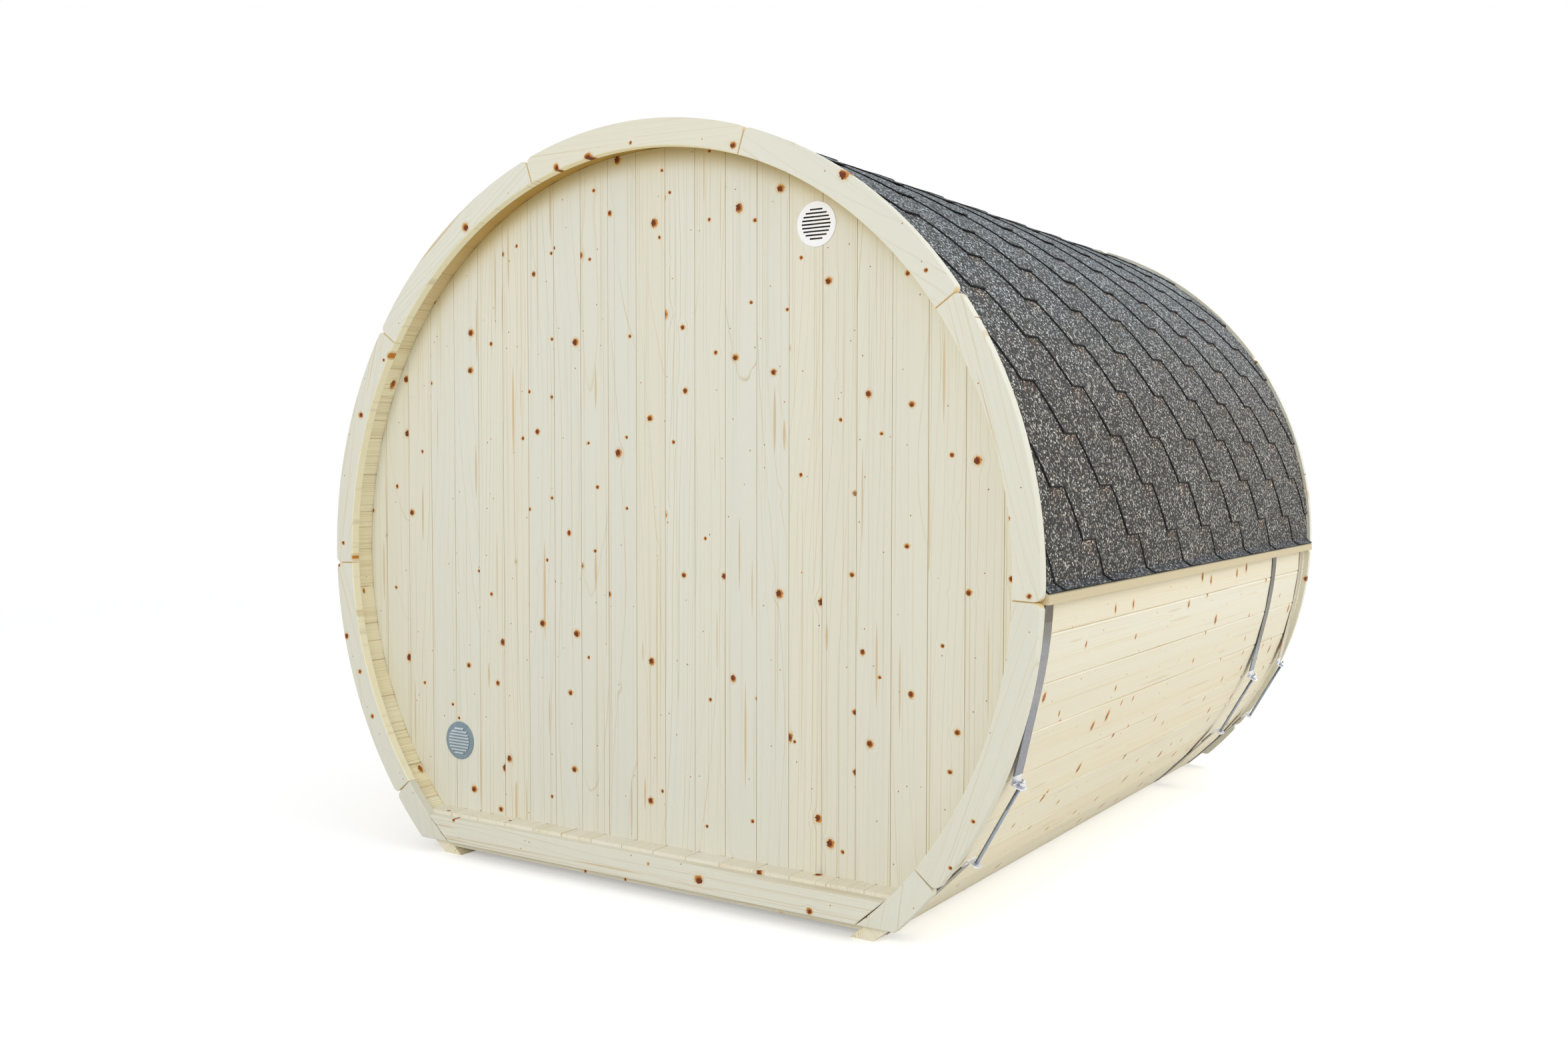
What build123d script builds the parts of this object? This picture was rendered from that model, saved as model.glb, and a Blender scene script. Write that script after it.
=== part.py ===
"""Barrel sauna: a wooden barrel lying on its side, with a shingled top and an open porch at one end.

The barrel's axis runs along Y, 945 mm above the ground. The closed end wall faces -Y, the porch and
its door face +Y, and the origin lies on the ground, under the middle of the barrel. All in mm.
"""

import os
from math import asin, cos, degrees, radians, sin, sqrt, tan

from build123d import *

# The barrel as a whole
barrel_length = 2700.0
base_cut = 277.0

# Staves, the boards that make the round wall
stave_radius = 1222.0
stave_thickness = 44.0
stave_pitch = 6.0
stave_gap = 0.6
stave_chamfer = 1.5
roof_panel_count = 5

# Rims, the rings of curved boards on both ends
rim_proud = 18.0
rim_width = 75.0
rim_thickness = 28.0
rim_foot_length = 168.5
rim_joint_gap = 1.0
rim_joint_flare = 3.2
rim_corner_radius = 19.0
rim_inner_corner_radius = 16.0
rim_edge_chamfer = 2.0
ground_clearance = 44.0

# Floor and the bearers under it
floor_top = 129.0
floor_thickness = 44.0
bearer_depth = 60.0
bearer_width = 90.0
bearer_count = 4
seat_gap = 0.3

# End walls of upright boards
rear_wall_inset = 94.0
end_wall_thickness = 44.0
porch_depth = 471.0
wall_board_pitch = 105.0
wall_groove_depth = 2.0

# Door in the porch wall
door_width = 640.0
door_head_room = 230.0
door_frame_width = 44.0
door_frame_depth = 70.0
door_leaf_thickness = 40.0
door_stile = 95.0
door_gap = 4.0
glass_thickness = 8.0
glass_rebate = 12.0
threshold_height = 28.0

# Door furniture
handle_length = 260.0
handle_diameter = 28.0
handle_standoff = 42.0
handle_edge_radius = 5.5
handle_stem_diameter = 18.0
handle_stem_inset = 28.0
hinge_height = 80.0
hinge_inset = 160.0
hinge_leaf_width = 28.0
hinge_leaf_thickness = 2.5
hinge_knuckle_diameter = 12.0

# Shingled roof, laid in courses from the eaves up to the ridge
first_butt_angle = 4.4
course_angle = 6.44
course_count = 13
shingle_base = 3.4
shingle_butt = 2.4
eave_angle = -0.35
lip_overhang = 28.0
lip_drop = 27.0
lip_thickness = 3.4
ridge_cap_half_angle = 5.5
ridge_cap_thickness = 3.0

# Eave battens under the shingles' lower edge
batten_outer_height = 22.0

# Tension hoops of galvanised strap. Their rises are angles, counted up from the ground line.
rear_hoop_inset = 89.0
middle_hoop_inset = 493.0
front_hoop_inset = 84.0
strap_width = 50.0
strap_thickness = 2.0
strap_end_setback = 24.0
bracket_leg_length = 72.0
strap_foot_rise = 0.94
lower_tangent_rise = 5.54
lower_lug_rise = 15.94
upper_lug_rise = 26.84
upper_tangent_rise = 37.54
lug_reach = 29.0
lug_thickness = 3.0
lug_corner_radius = 23.0
bolt_diameter = 10.0
bolt_offset = 13.0
bolt_hole_diameter = 11.0
bolt_tip = 9.0
nut_across_flats = 17.0
nut_thickness = 8.0
head_thickness = 6.4
washer_diameter = 21.0
washer_thickness = 2.0

# Round air vents in the closed end wall
vent_diameter = 120.0
vent_flange = 3.0
vent_duct_diameter = 96.0
vent_duct_wall = 2.0
vent_slot_count = 9
vent_slot_pitch = 9.6
vent_slot_height = 4.2
vent_slot_margin = 1.0
vent_edge_chamfer = 1.0
vent_louvre_reach = 5.0
vent_louvre_thickness = 1.0
upper_vent_angle = 58.7
upper_vent_inset = 104.0
lower_vent_angle = 217.8
lower_vent_inset = 199.0

# Sizes worked out from those above
half_length = barrel_length / 2
axis_height = stave_radius - base_cut
stave_inner_radius = stave_radius - stave_thickness
stave_end = half_length - rim_thickness
stave_corner_radius = stave_radius / cos(radians(stave_pitch / 2))
wall_stave_count = int(degrees(asin(axis_height / stave_corner_radius)) / stave_pitch)
rim_radius = stave_radius + rim_proud
rim_inner_radius = rim_radius - rim_width
rim_base_angle = -degrees(asin((axis_height - ground_clearance) / rim_radius))
rim_board_angle = (90 - rim_base_angle - degrees(rim_foot_length / rim_radius)) / 3.5
seat_radius = stave_corner_radius + seat_gap
rear_wall_face = -half_length + rear_wall_inset
porch_wall_face = half_length - porch_depth
roof_end = stave_end - seat_gap
hoop_positions = (
    -half_length + rear_hoop_inset,
    half_length - middle_hoop_inset,
    half_length - front_hoop_inset,
)

parts_folder = "parts"
os.makedirs(parts_folder, exist_ok=True)


def finish(node, name):
    """Label a finished piece and write it as its own file."""
    node.part.label = name
    export_step(node.part, f"{parts_folder}/{name}.step")


def section_plane(y):
    """The plane across the barrel at a distance along it, with its origin on the barrel's axis."""
    return Plane(origin=(0, y, axis_height), x_dir=(1, 0, 0), z_dir=(0, -1, 0))


def polar(radius, angle):
    """A point across the barrel, from its axis, with the angle counted up from the right."""
    return (radius * cos(radians(angle)), radius * sin(radians(angle)))


def rim_board(start_angle, end_angle, inner_corner_count=2):
    """One curved board of the closed end's rim, with its joint corners rounded.

    The inner corners are counted from the top, as the one at a corner board's joint stays sharp.
    """
    gap_angle = degrees(rim_joint_gap / 2 / rim_radius)
    first, last = start_angle + gap_angle, end_angle - gap_angle
    with BuildPart() as board:
        with BuildSketch(section_plane(-half_length)) as outline:
            with BuildLine():
                CenterArc((0, 0), rim_radius, first, last - first)
                CenterArc((0, 0), rim_inner_radius, first, last - first)
                Line(polar(rim_radius, first), polar(rim_inner_radius, first))
                Line(polar(rim_radius, last), polar(rim_inner_radius, last))
            make_face()
            corners = outline.vertices().sort_by_distance((0, 0))
            inner_corners = corners[:2].sort_by(Axis.Y)
            fillet(corners[2:], rim_corner_radius)
            fillet(inner_corners[-inner_corner_count:], rim_inner_corner_radius)
        extrude(amount=-rim_thickness)
        front_face = board.faces().sort_by(Axis.Y)[0]
        chamfer(front_face.edges(), rim_edge_chamfer)
    return board


def rim_foot(joint_angle):
    """The short right-hand corner board of a rim. Its upper joint gets wider towards the outside."""
    top = joint_angle - degrees(rim_joint_gap / 2 / rim_radius)
    outer_top = top - degrees(rim_joint_flare / rim_radius)
    inner_end = -degrees(asin((axis_height - ground_clearance) / rim_inner_radius))
    with BuildPart() as foot:
        with BuildSketch(section_plane(-half_length)) as outline:
            with BuildLine():
                CenterArc((0, 0), rim_radius, rim_base_angle, outer_top - rim_base_angle)
                CenterArc((0, 0), rim_inner_radius, inner_end, top - inner_end)
                Line(polar(rim_radius, outer_top), polar(rim_inner_radius, top))
                Line(polar(rim_radius, rim_base_angle), polar(rim_inner_radius, inner_end))
            make_face()
            upper_corners = outline.vertices().sort_by(Axis.Y)[-2:]
            fillet(upper_corners.sort_by(Axis.X)[-1], rim_corner_radius)
        extrude(amount=-rim_thickness)
        front_face = foot.faces().sort_by(Axis.Y)[0]
        chamfer(front_face.edges(), rim_edge_chamfer)
    return foot


def rim_sill():
    """The straight bottom board of a rim. The joints at its slanted ends get wider downwards."""
    drop = axis_height - ground_clearance
    top_drop = drop - rim_width
    top_half = sqrt(rim_inner_radius**2 - top_drop**2) - rim_joint_gap
    bottom_half = sqrt(rim_inner_radius**2 - drop**2) - rim_joint_gap - rim_joint_flare
    with BuildPart() as sill:
        with BuildSketch(section_plane(-half_length)):
            Polygon(
                (-bottom_half, -drop),
                (bottom_half, -drop),
                (top_half, -top_drop),
                (-top_half, -top_drop),
                align=None,
            )
        extrude(amount=-rim_thickness)
        front_face = sill.faces().sort_by(Axis.Y)[0]
        chamfer(front_face.edges(), rim_edge_chamfer)
    return sill


# Rims: each is a top board, three boards down each side, a foot each side and a sill
upper_joint = 90 - rim_board_angle / 2
middle_joint = upper_joint - rim_board_angle
lower_joint = middle_joint - rim_board_angle
foot_joint = lower_joint - rim_board_angle
rim_pieces = {"rim_top": rim_board(upper_joint, 180 - upper_joint), "rim_sill": rim_sill()}
right_pieces = {
    "upper": rim_board(middle_joint, upper_joint),
    "middle": rim_board(lower_joint, middle_joint),
    "lower": rim_board(foot_joint, lower_joint, inner_corner_count=1),
}
for place, right_piece in right_pieces.items():
    with BuildPart() as left_piece:
        mirror(right_piece.part, about=Plane.YZ)
    rim_pieces[f"rim_right_{place}"] = right_piece
    rim_pieces[f"rim_left_{place}"] = left_piece
right_foot = rim_foot(foot_joint)
with BuildPart() as feet:
    add(right_foot.part)
    mirror(right_foot.part, about=Plane.YZ)
rim_pieces["rim_feet"] = feet

for name, piece in rim_pieces.items():
    finish(piece, f"rear_{name}")
    with BuildPart() as front_piece:
        mirror(piece.part, about=Plane.XZ)
    finish(front_piece, f"front_{name}")


def stave_outline():
    """A stave's section, drawn with its inner face on the origin and its thickness along X."""
    lean = tan(radians(stave_pitch / 2))
    inner = stave_inner_radius * lean - stave_gap / 2
    outer = stave_radius * lean - stave_gap / 2
    side = stave_chamfer * lean
    return Polygon(
        (0, -inner),
        (stave_thickness - stave_chamfer, -outer + side),
        (stave_thickness, -outer + stave_chamfer),
        (stave_thickness, outer - stave_chamfer),
        (stave_thickness - stave_chamfer, outer - side),
        (0, inner),
        align=None,
    )


def stave_panel(first_edge, count):
    """A run of staves side by side, counted up from the angle of the first one's lower edge."""
    with BuildPart() as panel:
        with BuildSketch(section_plane(-stave_end)):
            middle = first_edge + stave_pitch / 2
            span = stave_pitch * count
            with PolarLocations(stave_inner_radius, count, middle, span, endpoint=False):
                stave_outline()
        extrude(amount=-2 * stave_end)
    return panel


# Round wall: eight staves down each side and five panels of six over the top
wall_angle = stave_pitch * wall_stave_count
right_wall = stave_panel(-wall_angle, wall_stave_count)
with BuildPart() as left_wall:
    mirror(right_wall.part, about=Plane.YZ)
finish(right_wall, "wall_right")
finish(left_wall, "wall_left")
panel_angle = 180 / roof_panel_count
for number in range(roof_panel_count):
    roof_panel = stave_panel(number * panel_angle, round(panel_angle / stave_pitch))
    finish(roof_panel, f"vault_{number + 1}")

# Foot staves: the last stave on each side, cut level on the ground
with BuildPart() as foot_right:
    with BuildSketch(section_plane(-stave_end)):
        with PolarLocations(stave_inner_radius, 1, -wall_angle - stave_pitch / 2):
            stave_outline()
        with Locations((0, -axis_height)):
            Rectangle(2 * rim_radius, axis_height, align=(Align.CENTER, Align.MIN), mode=Mode.INTERSECT)
    extrude(amount=-2 * stave_end)
with BuildPart() as foot_left:
    mirror(foot_right.part, about=Plane.YZ)
finish(foot_right, "foot_right")
finish(foot_left, "foot_left")

# Floor boards, and the bearers that carry them between the foot staves
inner_seat = stave_inner_radius - seat_gap
floor_drop = axis_height - floor_top
with BuildPart() as floor:
    with BuildSketch(section_plane(-stave_end)):
        Circle(inner_seat)
        with Locations((0, -floor_drop - floor_thickness / 2)):
            Rectangle(2 * rim_radius, floor_thickness, mode=Mode.INTERSECT)
    extrude(amount=-2 * stave_end)
finish(floor, "floor")

bearer_top = -floor_drop - floor_thickness
bearer_spacing = (2 * stave_end - bearer_width) / (bearer_count - 1)
with BuildPart() as bearers:
    for number in range(bearer_count):
        with BuildSketch(section_plane(-stave_end + number * bearer_spacing)):
            Circle(inner_seat)
            with Locations((0, bearer_top - bearer_depth / 2)):
                Rectangle(2 * rim_radius, bearer_depth, mode=Mode.INTERSECT)
        extrude(amount=-bearer_width)
finish(bearers, "bearers")

# Closed end wall of upright boards, standing on the floor, with two holes for the vent ducts
duct_hole_diameter = vent_duct_diameter + 2 * seat_gap
upper_vent_place = polar(stave_inner_radius - upper_vent_inset, upper_vent_angle)
lower_vent_place = polar(stave_inner_radius - lower_vent_inset, lower_vent_angle)
groove_count = int(2 * stave_inner_radius / wall_board_pitch) + 1
first_groove = -wall_board_pitch * (groove_count // 2) + wall_board_pitch / 2


def end_wall_blank(y):
    """A wall that fills the barrel from the floor up, with a V groove at each board joint."""
    with BuildPart() as wall:
        with BuildSketch(section_plane(y)):
            Circle(inner_seat)
            with Locations((0, -floor_drop)):
                Rectangle(
                    2 * rim_radius,
                    2 * rim_radius,
                    align=(Align.CENTER, Align.MIN),
                    mode=Mode.INTERSECT,
                )
        extrude(amount=-end_wall_thickness)
        with BuildSketch(Plane.XY.offset(floor_top)):
            for face_y, depth in ((y, wall_groove_depth), (y + end_wall_thickness, -wall_groove_depth)):
                for number in range(groove_count):
                    x = first_groove + number * wall_board_pitch
                    with BuildLine():
                        Polyline(
                            (x - wall_groove_depth / 2, face_y),
                            (x + wall_groove_depth / 2, face_y),
                            (x, face_y + depth),
                            close=True,
                        )
                    make_face()
        extrude(amount=2 * rim_radius, mode=Mode.SUBTRACT)
    return wall


rear_blank = end_wall_blank(rear_wall_face)
with BuildPart() as rear_wall:
    add(rear_blank.part)
    with BuildSketch(section_plane(rear_wall_face)):
        with Locations(upper_vent_place, lower_vent_place):
            Circle(duct_hole_diameter / 2)
    extrude(amount=-end_wall_thickness, mode=Mode.SUBTRACT)
finish(rear_wall, "rear_wall")

# Porch wall, split beside and over the doorway
door_height = axis_height + stave_inner_radius - door_head_room - door_frame_width - floor_top
opening_half = door_width / 2 + door_frame_width + seat_gap
opening_top = floor_top + door_height + door_frame_width + seat_gap
porch_blank = end_wall_blank(porch_wall_face - end_wall_thickness)
wall_middle = porch_wall_face - end_wall_thickness / 2
wall_box_depth = 2 * end_wall_thickness
with BuildPart() as porch_wall_right:
    add(porch_blank.part)
    with Locations((opening_half, wall_middle, floor_top)):
        Box(
            rim_radius,
            wall_box_depth,
            opening_top - floor_top,
            align=(Align.MIN, Align.CENTER, Align.MIN),
            mode=Mode.INTERSECT,
        )
with BuildPart() as porch_wall_left:
    mirror(porch_wall_right.part, about=Plane.YZ)
with BuildPart() as porch_wall_head:
    add(porch_blank.part)
    with Locations((0, wall_middle, opening_top)):
        Box(
            2 * rim_radius,
            wall_box_depth,
            rim_radius,
            align=(Align.CENTER, Align.CENTER, Align.MIN),
            mode=Mode.INTERSECT,
        )
finish(porch_wall_right, "porch_wall_right")
finish(porch_wall_left, "porch_wall_left")
finish(porch_wall_head, "porch_wall_head")

# Door frame: two jambs, a head and a low threshold, standing a little proud of the wall
frame_outer_width = door_width + 2 * door_frame_width
frame_outer_height = door_height + door_frame_width
frame_proud = (door_frame_depth - end_wall_thickness) / 2
frame_face = porch_wall_face + frame_proud
door_plane = Plane(origin=(0, frame_face, floor_top), x_dir=(1, 0, 0), z_dir=(0, -1, 0))
with BuildPart() as door_frame:
    with BuildSketch(door_plane):
        Rectangle(frame_outer_width, frame_outer_height, align=(Align.CENTER, Align.MIN))
        with Locations((0, threshold_height)):
            Rectangle(
                door_width,
                door_height - threshold_height,
                align=(Align.CENTER, Align.MIN),
                mode=Mode.SUBTRACT,
            )
    extrude(amount=door_frame_depth)
finish(door_frame, "door_frame")

# Door leaf: a wooden frame around one pane
leaf_width = door_width - 2 * door_gap
leaf_height = door_height - threshold_height - 2 * door_gap
leaf_bottom = threshold_height + door_gap
pane_width = leaf_width - 2 * door_stile
pane_height = leaf_height - 2 * door_stile
with BuildPart() as door_leaf:
    with BuildSketch(door_plane):
        with Locations((0, leaf_bottom)):
            Rectangle(leaf_width, leaf_height, align=(Align.CENTER, Align.MIN))
        with Locations((0, leaf_bottom + door_stile)):
            Rectangle(pane_width, pane_height, align=(Align.CENTER, Align.MIN), mode=Mode.SUBTRACT)
    extrude(amount=door_leaf_thickness)
    rebate_plane = door_plane.offset((door_leaf_thickness - glass_thickness) / 2 - seat_gap)
    with BuildSketch(rebate_plane):
        with Locations((0, leaf_bottom + door_stile - glass_rebate)):
            Rectangle(
                pane_width + 2 * glass_rebate,
                pane_height + 2 * glass_rebate,
                align=(Align.CENTER, Align.MIN),
            )
    extrude(amount=glass_thickness + 2 * seat_gap, mode=Mode.SUBTRACT)
finish(door_leaf, "door_leaf")

with BuildPart() as door_glass:
    with BuildSketch(door_plane.offset((door_leaf_thickness - glass_thickness) / 2)):
        with Locations((0, leaf_bottom + door_stile - glass_rebate + seat_gap)):
            Rectangle(
                pane_width + 2 * glass_rebate - 2 * seat_gap,
                pane_height + 2 * glass_rebate - 2 * seat_gap,
                align=(Align.CENTER, Align.MIN),
            )
    extrude(amount=glass_thickness)
finish(door_glass, "door_glass")

# Door furniture: a round bar handle on two stems, and three hinges on the other edge
handle_x = leaf_width / 2 - door_stile / 2
handle_middle = leaf_bottom + leaf_height / 2
handle_stem_reach = handle_length / 2 - handle_stem_inset
with BuildPart() as door_handle:
    with BuildSketch(Plane.XY.offset(floor_top + handle_middle - handle_length / 2)):
        with Locations((handle_x, frame_face + handle_standoff)):
            Circle(handle_diameter / 2)
    extrude(amount=handle_length)
    fillet(door_handle.edges().filter_by(GeomType.CIRCLE), handle_edge_radius)
    with BuildSketch(door_plane):
        with Locations(
            (handle_x, handle_middle - handle_stem_reach),
            (handle_x, handle_middle + handle_stem_reach),
        ):
            Circle(handle_stem_diameter / 2)
    extrude(amount=-handle_standoff)
finish(door_handle, "door_handle")

hinge_x = -door_width / 2 + door_gap / 2
hinge_knuckle_y = frame_face + hinge_leaf_thickness + hinge_knuckle_diameter / 2
lowest_hinge = floor_top + leaf_bottom + hinge_inset
highest_hinge = floor_top + leaf_bottom + leaf_height - hinge_inset
hinge_heights = (lowest_hinge, (lowest_hinge + highest_hinge) / 2, highest_hinge)
with BuildPart() as door_hinges:
    for height in hinge_heights:
        with BuildSketch(door_plane.offset(-seat_gap)):
            with Locations((hinge_x, height - floor_top)):
                Rectangle(2 * hinge_leaf_width, hinge_height)
        extrude(amount=-hinge_leaf_thickness)
        with BuildSketch(Plane.XY.offset(height - hinge_height / 2)):
            with Locations((hinge_x, hinge_knuckle_y)):
                Circle(hinge_knuckle_diameter / 2)
        extrude(amount=hinge_height)
finish(door_hinges, "door_hinges")

# Room that the hoops' straps need under the roof and behind the battens
with BuildPart() as strap_room:
    for y in hoop_positions:
        with BuildSketch(section_plane(y - strap_width / 2 - rim_joint_gap)):
            Circle(seat_radius + strap_thickness + seat_gap)
            Circle(stave_inner_radius, mode=Mode.SUBTRACT)
        extrude(amount=-(strap_width + 2 * rim_joint_gap))

# Shingled roof: courses that step out at each butt, and a lip that flares over the eave batten
shingle_low = seat_radius + shingle_base
shingle_high = shingle_low + shingle_butt
last_butt_angle = first_butt_angle + (course_count - 1) * course_angle
ridge_angle = 90 - degrees(rim_joint_gap / 2 / seat_radius)
lip_root = polar(seat_radius, eave_angle)
lip_tip = (seat_radius + lip_overhang - lip_thickness, -lip_drop)
lip_length = sqrt((lip_tip[0] - lip_root[0]) ** 2 + (lip_tip[1] - lip_root[1]) ** 2)
lip_rise = lip_thickness * (lip_tip[0] - lip_root[0]) / lip_length
lip_run = lip_thickness * (lip_root[1] - lip_tip[1]) / lip_length


def roof_side():
    """The right-hand half of the roof covering."""
    with BuildPart() as side:
        with BuildSketch(section_plane(-roof_end)):
            with BuildLine():
                Polyline(
                    polar(shingle_high, eave_angle),
                    (lip_tip[0] + lip_run, lip_tip[1] + lip_rise),
                    lip_tip,
                    lip_root,
                )
                lower_angle = eave_angle
                for number in range(course_count):
                    butt_angle = first_butt_angle + number * course_angle
                    middle_angle = (lower_angle + butt_angle) / 2
                    middle_radius = (shingle_low + shingle_high) / 2
                    ThreePointArc(
                        polar(shingle_high, lower_angle),
                        polar(middle_radius, middle_angle),
                        polar(shingle_low, butt_angle),
                    )
                    Line(polar(shingle_low, butt_angle), polar(shingle_high, butt_angle))
                    lower_angle = butt_angle
                CenterArc((0, 0), shingle_high, last_butt_angle, ridge_angle - last_butt_angle)
                Line(polar(shingle_high, ridge_angle), polar(seat_radius, ridge_angle))
                CenterArc((0, 0), seat_radius, eave_angle, ridge_angle - eave_angle)
            make_face()
        extrude(amount=-2 * roof_end)
        add(strap_room.part, mode=Mode.SUBTRACT)
    return side


roof_right = roof_side()
with BuildPart() as roof_left:
    mirror(roof_right.part, about=Plane.YZ)
finish(roof_right, "roof_right")
finish(roof_left, "roof_left")

# Ridge cap, a strip of the same felt bent over the top
cap_radius = shingle_high + seat_gap
with BuildPart() as ridge_cap:
    with BuildSketch(section_plane(-roof_end)):
        with BuildLine():
            first, last = 90 - ridge_cap_half_angle, 90 + ridge_cap_half_angle
            CenterArc((0, 0), cap_radius, first, last - first)
            CenterArc((0, 0), cap_radius + ridge_cap_thickness, first, last - first)
            Line(polar(cap_radius, first), polar(cap_radius + ridge_cap_thickness, first))
            Line(polar(cap_radius, last), polar(cap_radius + ridge_cap_thickness, last))
        make_face()
    extrude(amount=-2 * roof_end)
finish(ridge_cap, "ridge_cap")

# Eave battens, bevelled on top for the lip and notched behind for the straps
batten_reach = lip_tip[0] - seat_gap
batten_slope = (lip_root[1] - lip_tip[1]) / (lip_tip[0] - lip_root[0])
batten_outer_top = lip_tip[1] - seat_gap
batten_inner_top = batten_outer_top + batten_slope * (batten_reach - seat_radius)
batten_bottom = batten_outer_top - batten_outer_height
with BuildPart() as batten_right:
    with BuildSketch(section_plane(-roof_end)):
        with BuildLine():
            Polyline(
                (sqrt(seat_radius**2 - batten_inner_top**2), batten_inner_top),
                (batten_reach, batten_outer_top),
                (batten_reach, batten_bottom),
                (sqrt(seat_radius**2 - batten_bottom**2), batten_bottom),
                close=True,
            )
        make_face()
    extrude(amount=-2 * roof_end)
    add(strap_room.part, mode=Mode.SUBTRACT)
with BuildPart() as eave_battens:
    add(batten_right.part)
    mirror(batten_right.part, about=Plane.YZ)
finish(eave_battens, "eave_battens")

# Tension hoops. Each has an upper strap over the barrel and a lower strap on each side. Their ends
# run off the staves in a straight line onto an angle bracket, whose leg lies behind the strap and
# whose other leg is a lug. A long bolt draws the two lugs together.
ground_angle = degrees(asin(axis_height / seat_radius))
strap_foot_angle = strap_foot_rise - ground_angle
lower_tangent_angle = lower_tangent_rise - ground_angle
lower_lug_angle = lower_lug_rise - ground_angle
upper_lug_angle = upper_lug_rise - ground_angle
upper_tangent_angle = upper_tangent_rise - ground_angle
lug_middle_angle = (upper_lug_angle + lower_lug_angle) / 2
bolt_direction = (sin(radians(lug_middle_angle)), -cos(radians(lug_middle_angle)))
upper_run = seat_radius * tan(radians(upper_tangent_angle - upper_lug_angle))
lower_run = seat_radius * tan(radians(lower_lug_angle - lower_tangent_angle))


def straight_run(tangent_angle, first, last, inner, outer):
    """A straight stretch of flat steel off a strap's tangent, across the barrel.

    It runs between two distances down from the tangent, and between two off the strap's seat.
    """
    out = polar(1, tangent_angle)
    corners = []
    for along, reach in ((first, inner), (last, inner), (last, outer), (first, outer)):
        radius = seat_radius + reach
        corners.append((out[0] * radius + out[1] * along, out[1] * radius - out[0] * along))
    return Polygon(*corners, align=None)


def strap_run(tangent_angle, run):
    """A strap's straight end, and the leg of its lug's bracket behind it."""
    way = run / abs(run)
    with BuildSketch() as both:
        straight_run(tangent_angle, 0, run - way * strap_end_setback, 0, strap_thickness)
        straight_run(tangent_angle, run - way * bracket_leg_length, run, -lug_thickness, 0)
    return both.sketch


def strap_end(tangent_angle, run):
    """Where the inner face of a strap's straight end meets its lug."""
    out = polar(1, tangent_angle)
    foot = polar(seat_radius, tangent_angle)
    return (foot[0] + out[1] * run, foot[1] - out[0] * run)


upper_end = strap_end(upper_tangent_angle, upper_run)
lower_end = strap_end(lower_tangent_angle, -lower_run)
out_direction = polar(1, lug_middle_angle)
bolt_reach = upper_end[0] * out_direction[0] + upper_end[1] * out_direction[1] + bolt_offset
upper_along = upper_end[0] * bolt_direction[0] + upper_end[1] * bolt_direction[1]
lower_along = lower_end[0] * bolt_direction[0] + lower_end[1] * bolt_direction[1]


def lug_plane(end, y):
    """The plane of a lug, with its origin on the strap's end and the lug's reach along local Y."""
    return Plane(
        origin=(end[0], y, axis_height + end[1]),
        x_dir=(0, 1, 0),
        z_dir=(bolt_direction[0], 0, bolt_direction[1]),
    )


def lug_outline(end):
    """A lug's plate: as wide as the strap, with rounded outer corners and a bolt hole."""
    inward = end[0] * out_direction[0] + end[1] * out_direction[1]
    with BuildSketch() as plate:
        Rectangle(strap_width, lug_reach, align=(Align.CENTER, Align.MIN))
        fillet(plate.vertices().group_by(Axis.Y)[-1], lug_corner_radius)
        with Locations((0, bolt_reach - inward)):
            Circle(bolt_hole_diameter / 2, mode=Mode.SUBTRACT)
    return plate.sketch


upper_lug_shape = lug_outline(upper_end)
lower_lug_shape = lug_outline(lower_end)
upper_strap_run = strap_run(upper_tangent_angle, upper_run)
lower_strap_run = strap_run(lower_tangent_angle, -lower_run)

with BuildPart() as upper_straps:
    for y in hoop_positions:
        with BuildSketch(section_plane(y - strap_width / 2)) as band:
            with BuildLine():
                first, last = upper_tangent_angle, 180 - upper_tangent_angle
                outer_radius = seat_radius + strap_thickness
                CenterArc((0, 0), seat_radius, first, last - first)
                CenterArc((0, 0), outer_radius, first, last - first)
                Line(polar(seat_radius, first), polar(outer_radius, first))
                Line(polar(seat_radius, last), polar(outer_radius, last))
            make_face()
            add(upper_strap_run)
            mirror(upper_strap_run, about=Plane.YZ)
        extrude(amount=-strap_width)
        with BuildPart(mode=Mode.PRIVATE) as lug:
            with BuildSketch(lug_plane(upper_end, y)):
                add(upper_lug_shape)
            extrude(amount=-lug_thickness)
        add(lug.part)
        mirror(lug.part, about=Plane.YZ)
finish(upper_straps, "upper_straps")

with BuildPart() as lower_straps:
    for y in hoop_positions:
        with BuildPart(mode=Mode.PRIVATE) as strap:
            with BuildSketch(section_plane(y - strap_width / 2)):
                with BuildLine():
                    first, last = strap_foot_angle, lower_tangent_angle
                    CenterArc((0, 0), seat_radius, first, last - first)
                    CenterArc((0, 0), outer_radius, first, last - first)
                    Line(polar(seat_radius, first), polar(outer_radius, first))
                    Line(polar(seat_radius, last), polar(outer_radius, last))
                make_face()
                add(lower_strap_run)
            extrude(amount=-strap_width)
            with BuildSketch(lug_plane(lower_end, y)):
                add(lower_lug_shape)
            extrude(amount=lug_thickness)
        add(strap.part)
        mirror(strap.part, about=Plane.YZ)
finish(lower_straps, "lower_straps")


def bolt_plane(along, y):
    """A plane square to a right-hand bolt, at a distance down it from the middle of the gap."""
    return Plane(
        origin=(
            out_direction[0] * bolt_reach + bolt_direction[0] * along,
            y,
            axis_height + out_direction[1] * bolt_reach + bolt_direction[1] * along,
        ),
        x_dir=(0, 1, 0),
        z_dir=(bolt_direction[0], 0, bolt_direction[1]),
    )


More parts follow.
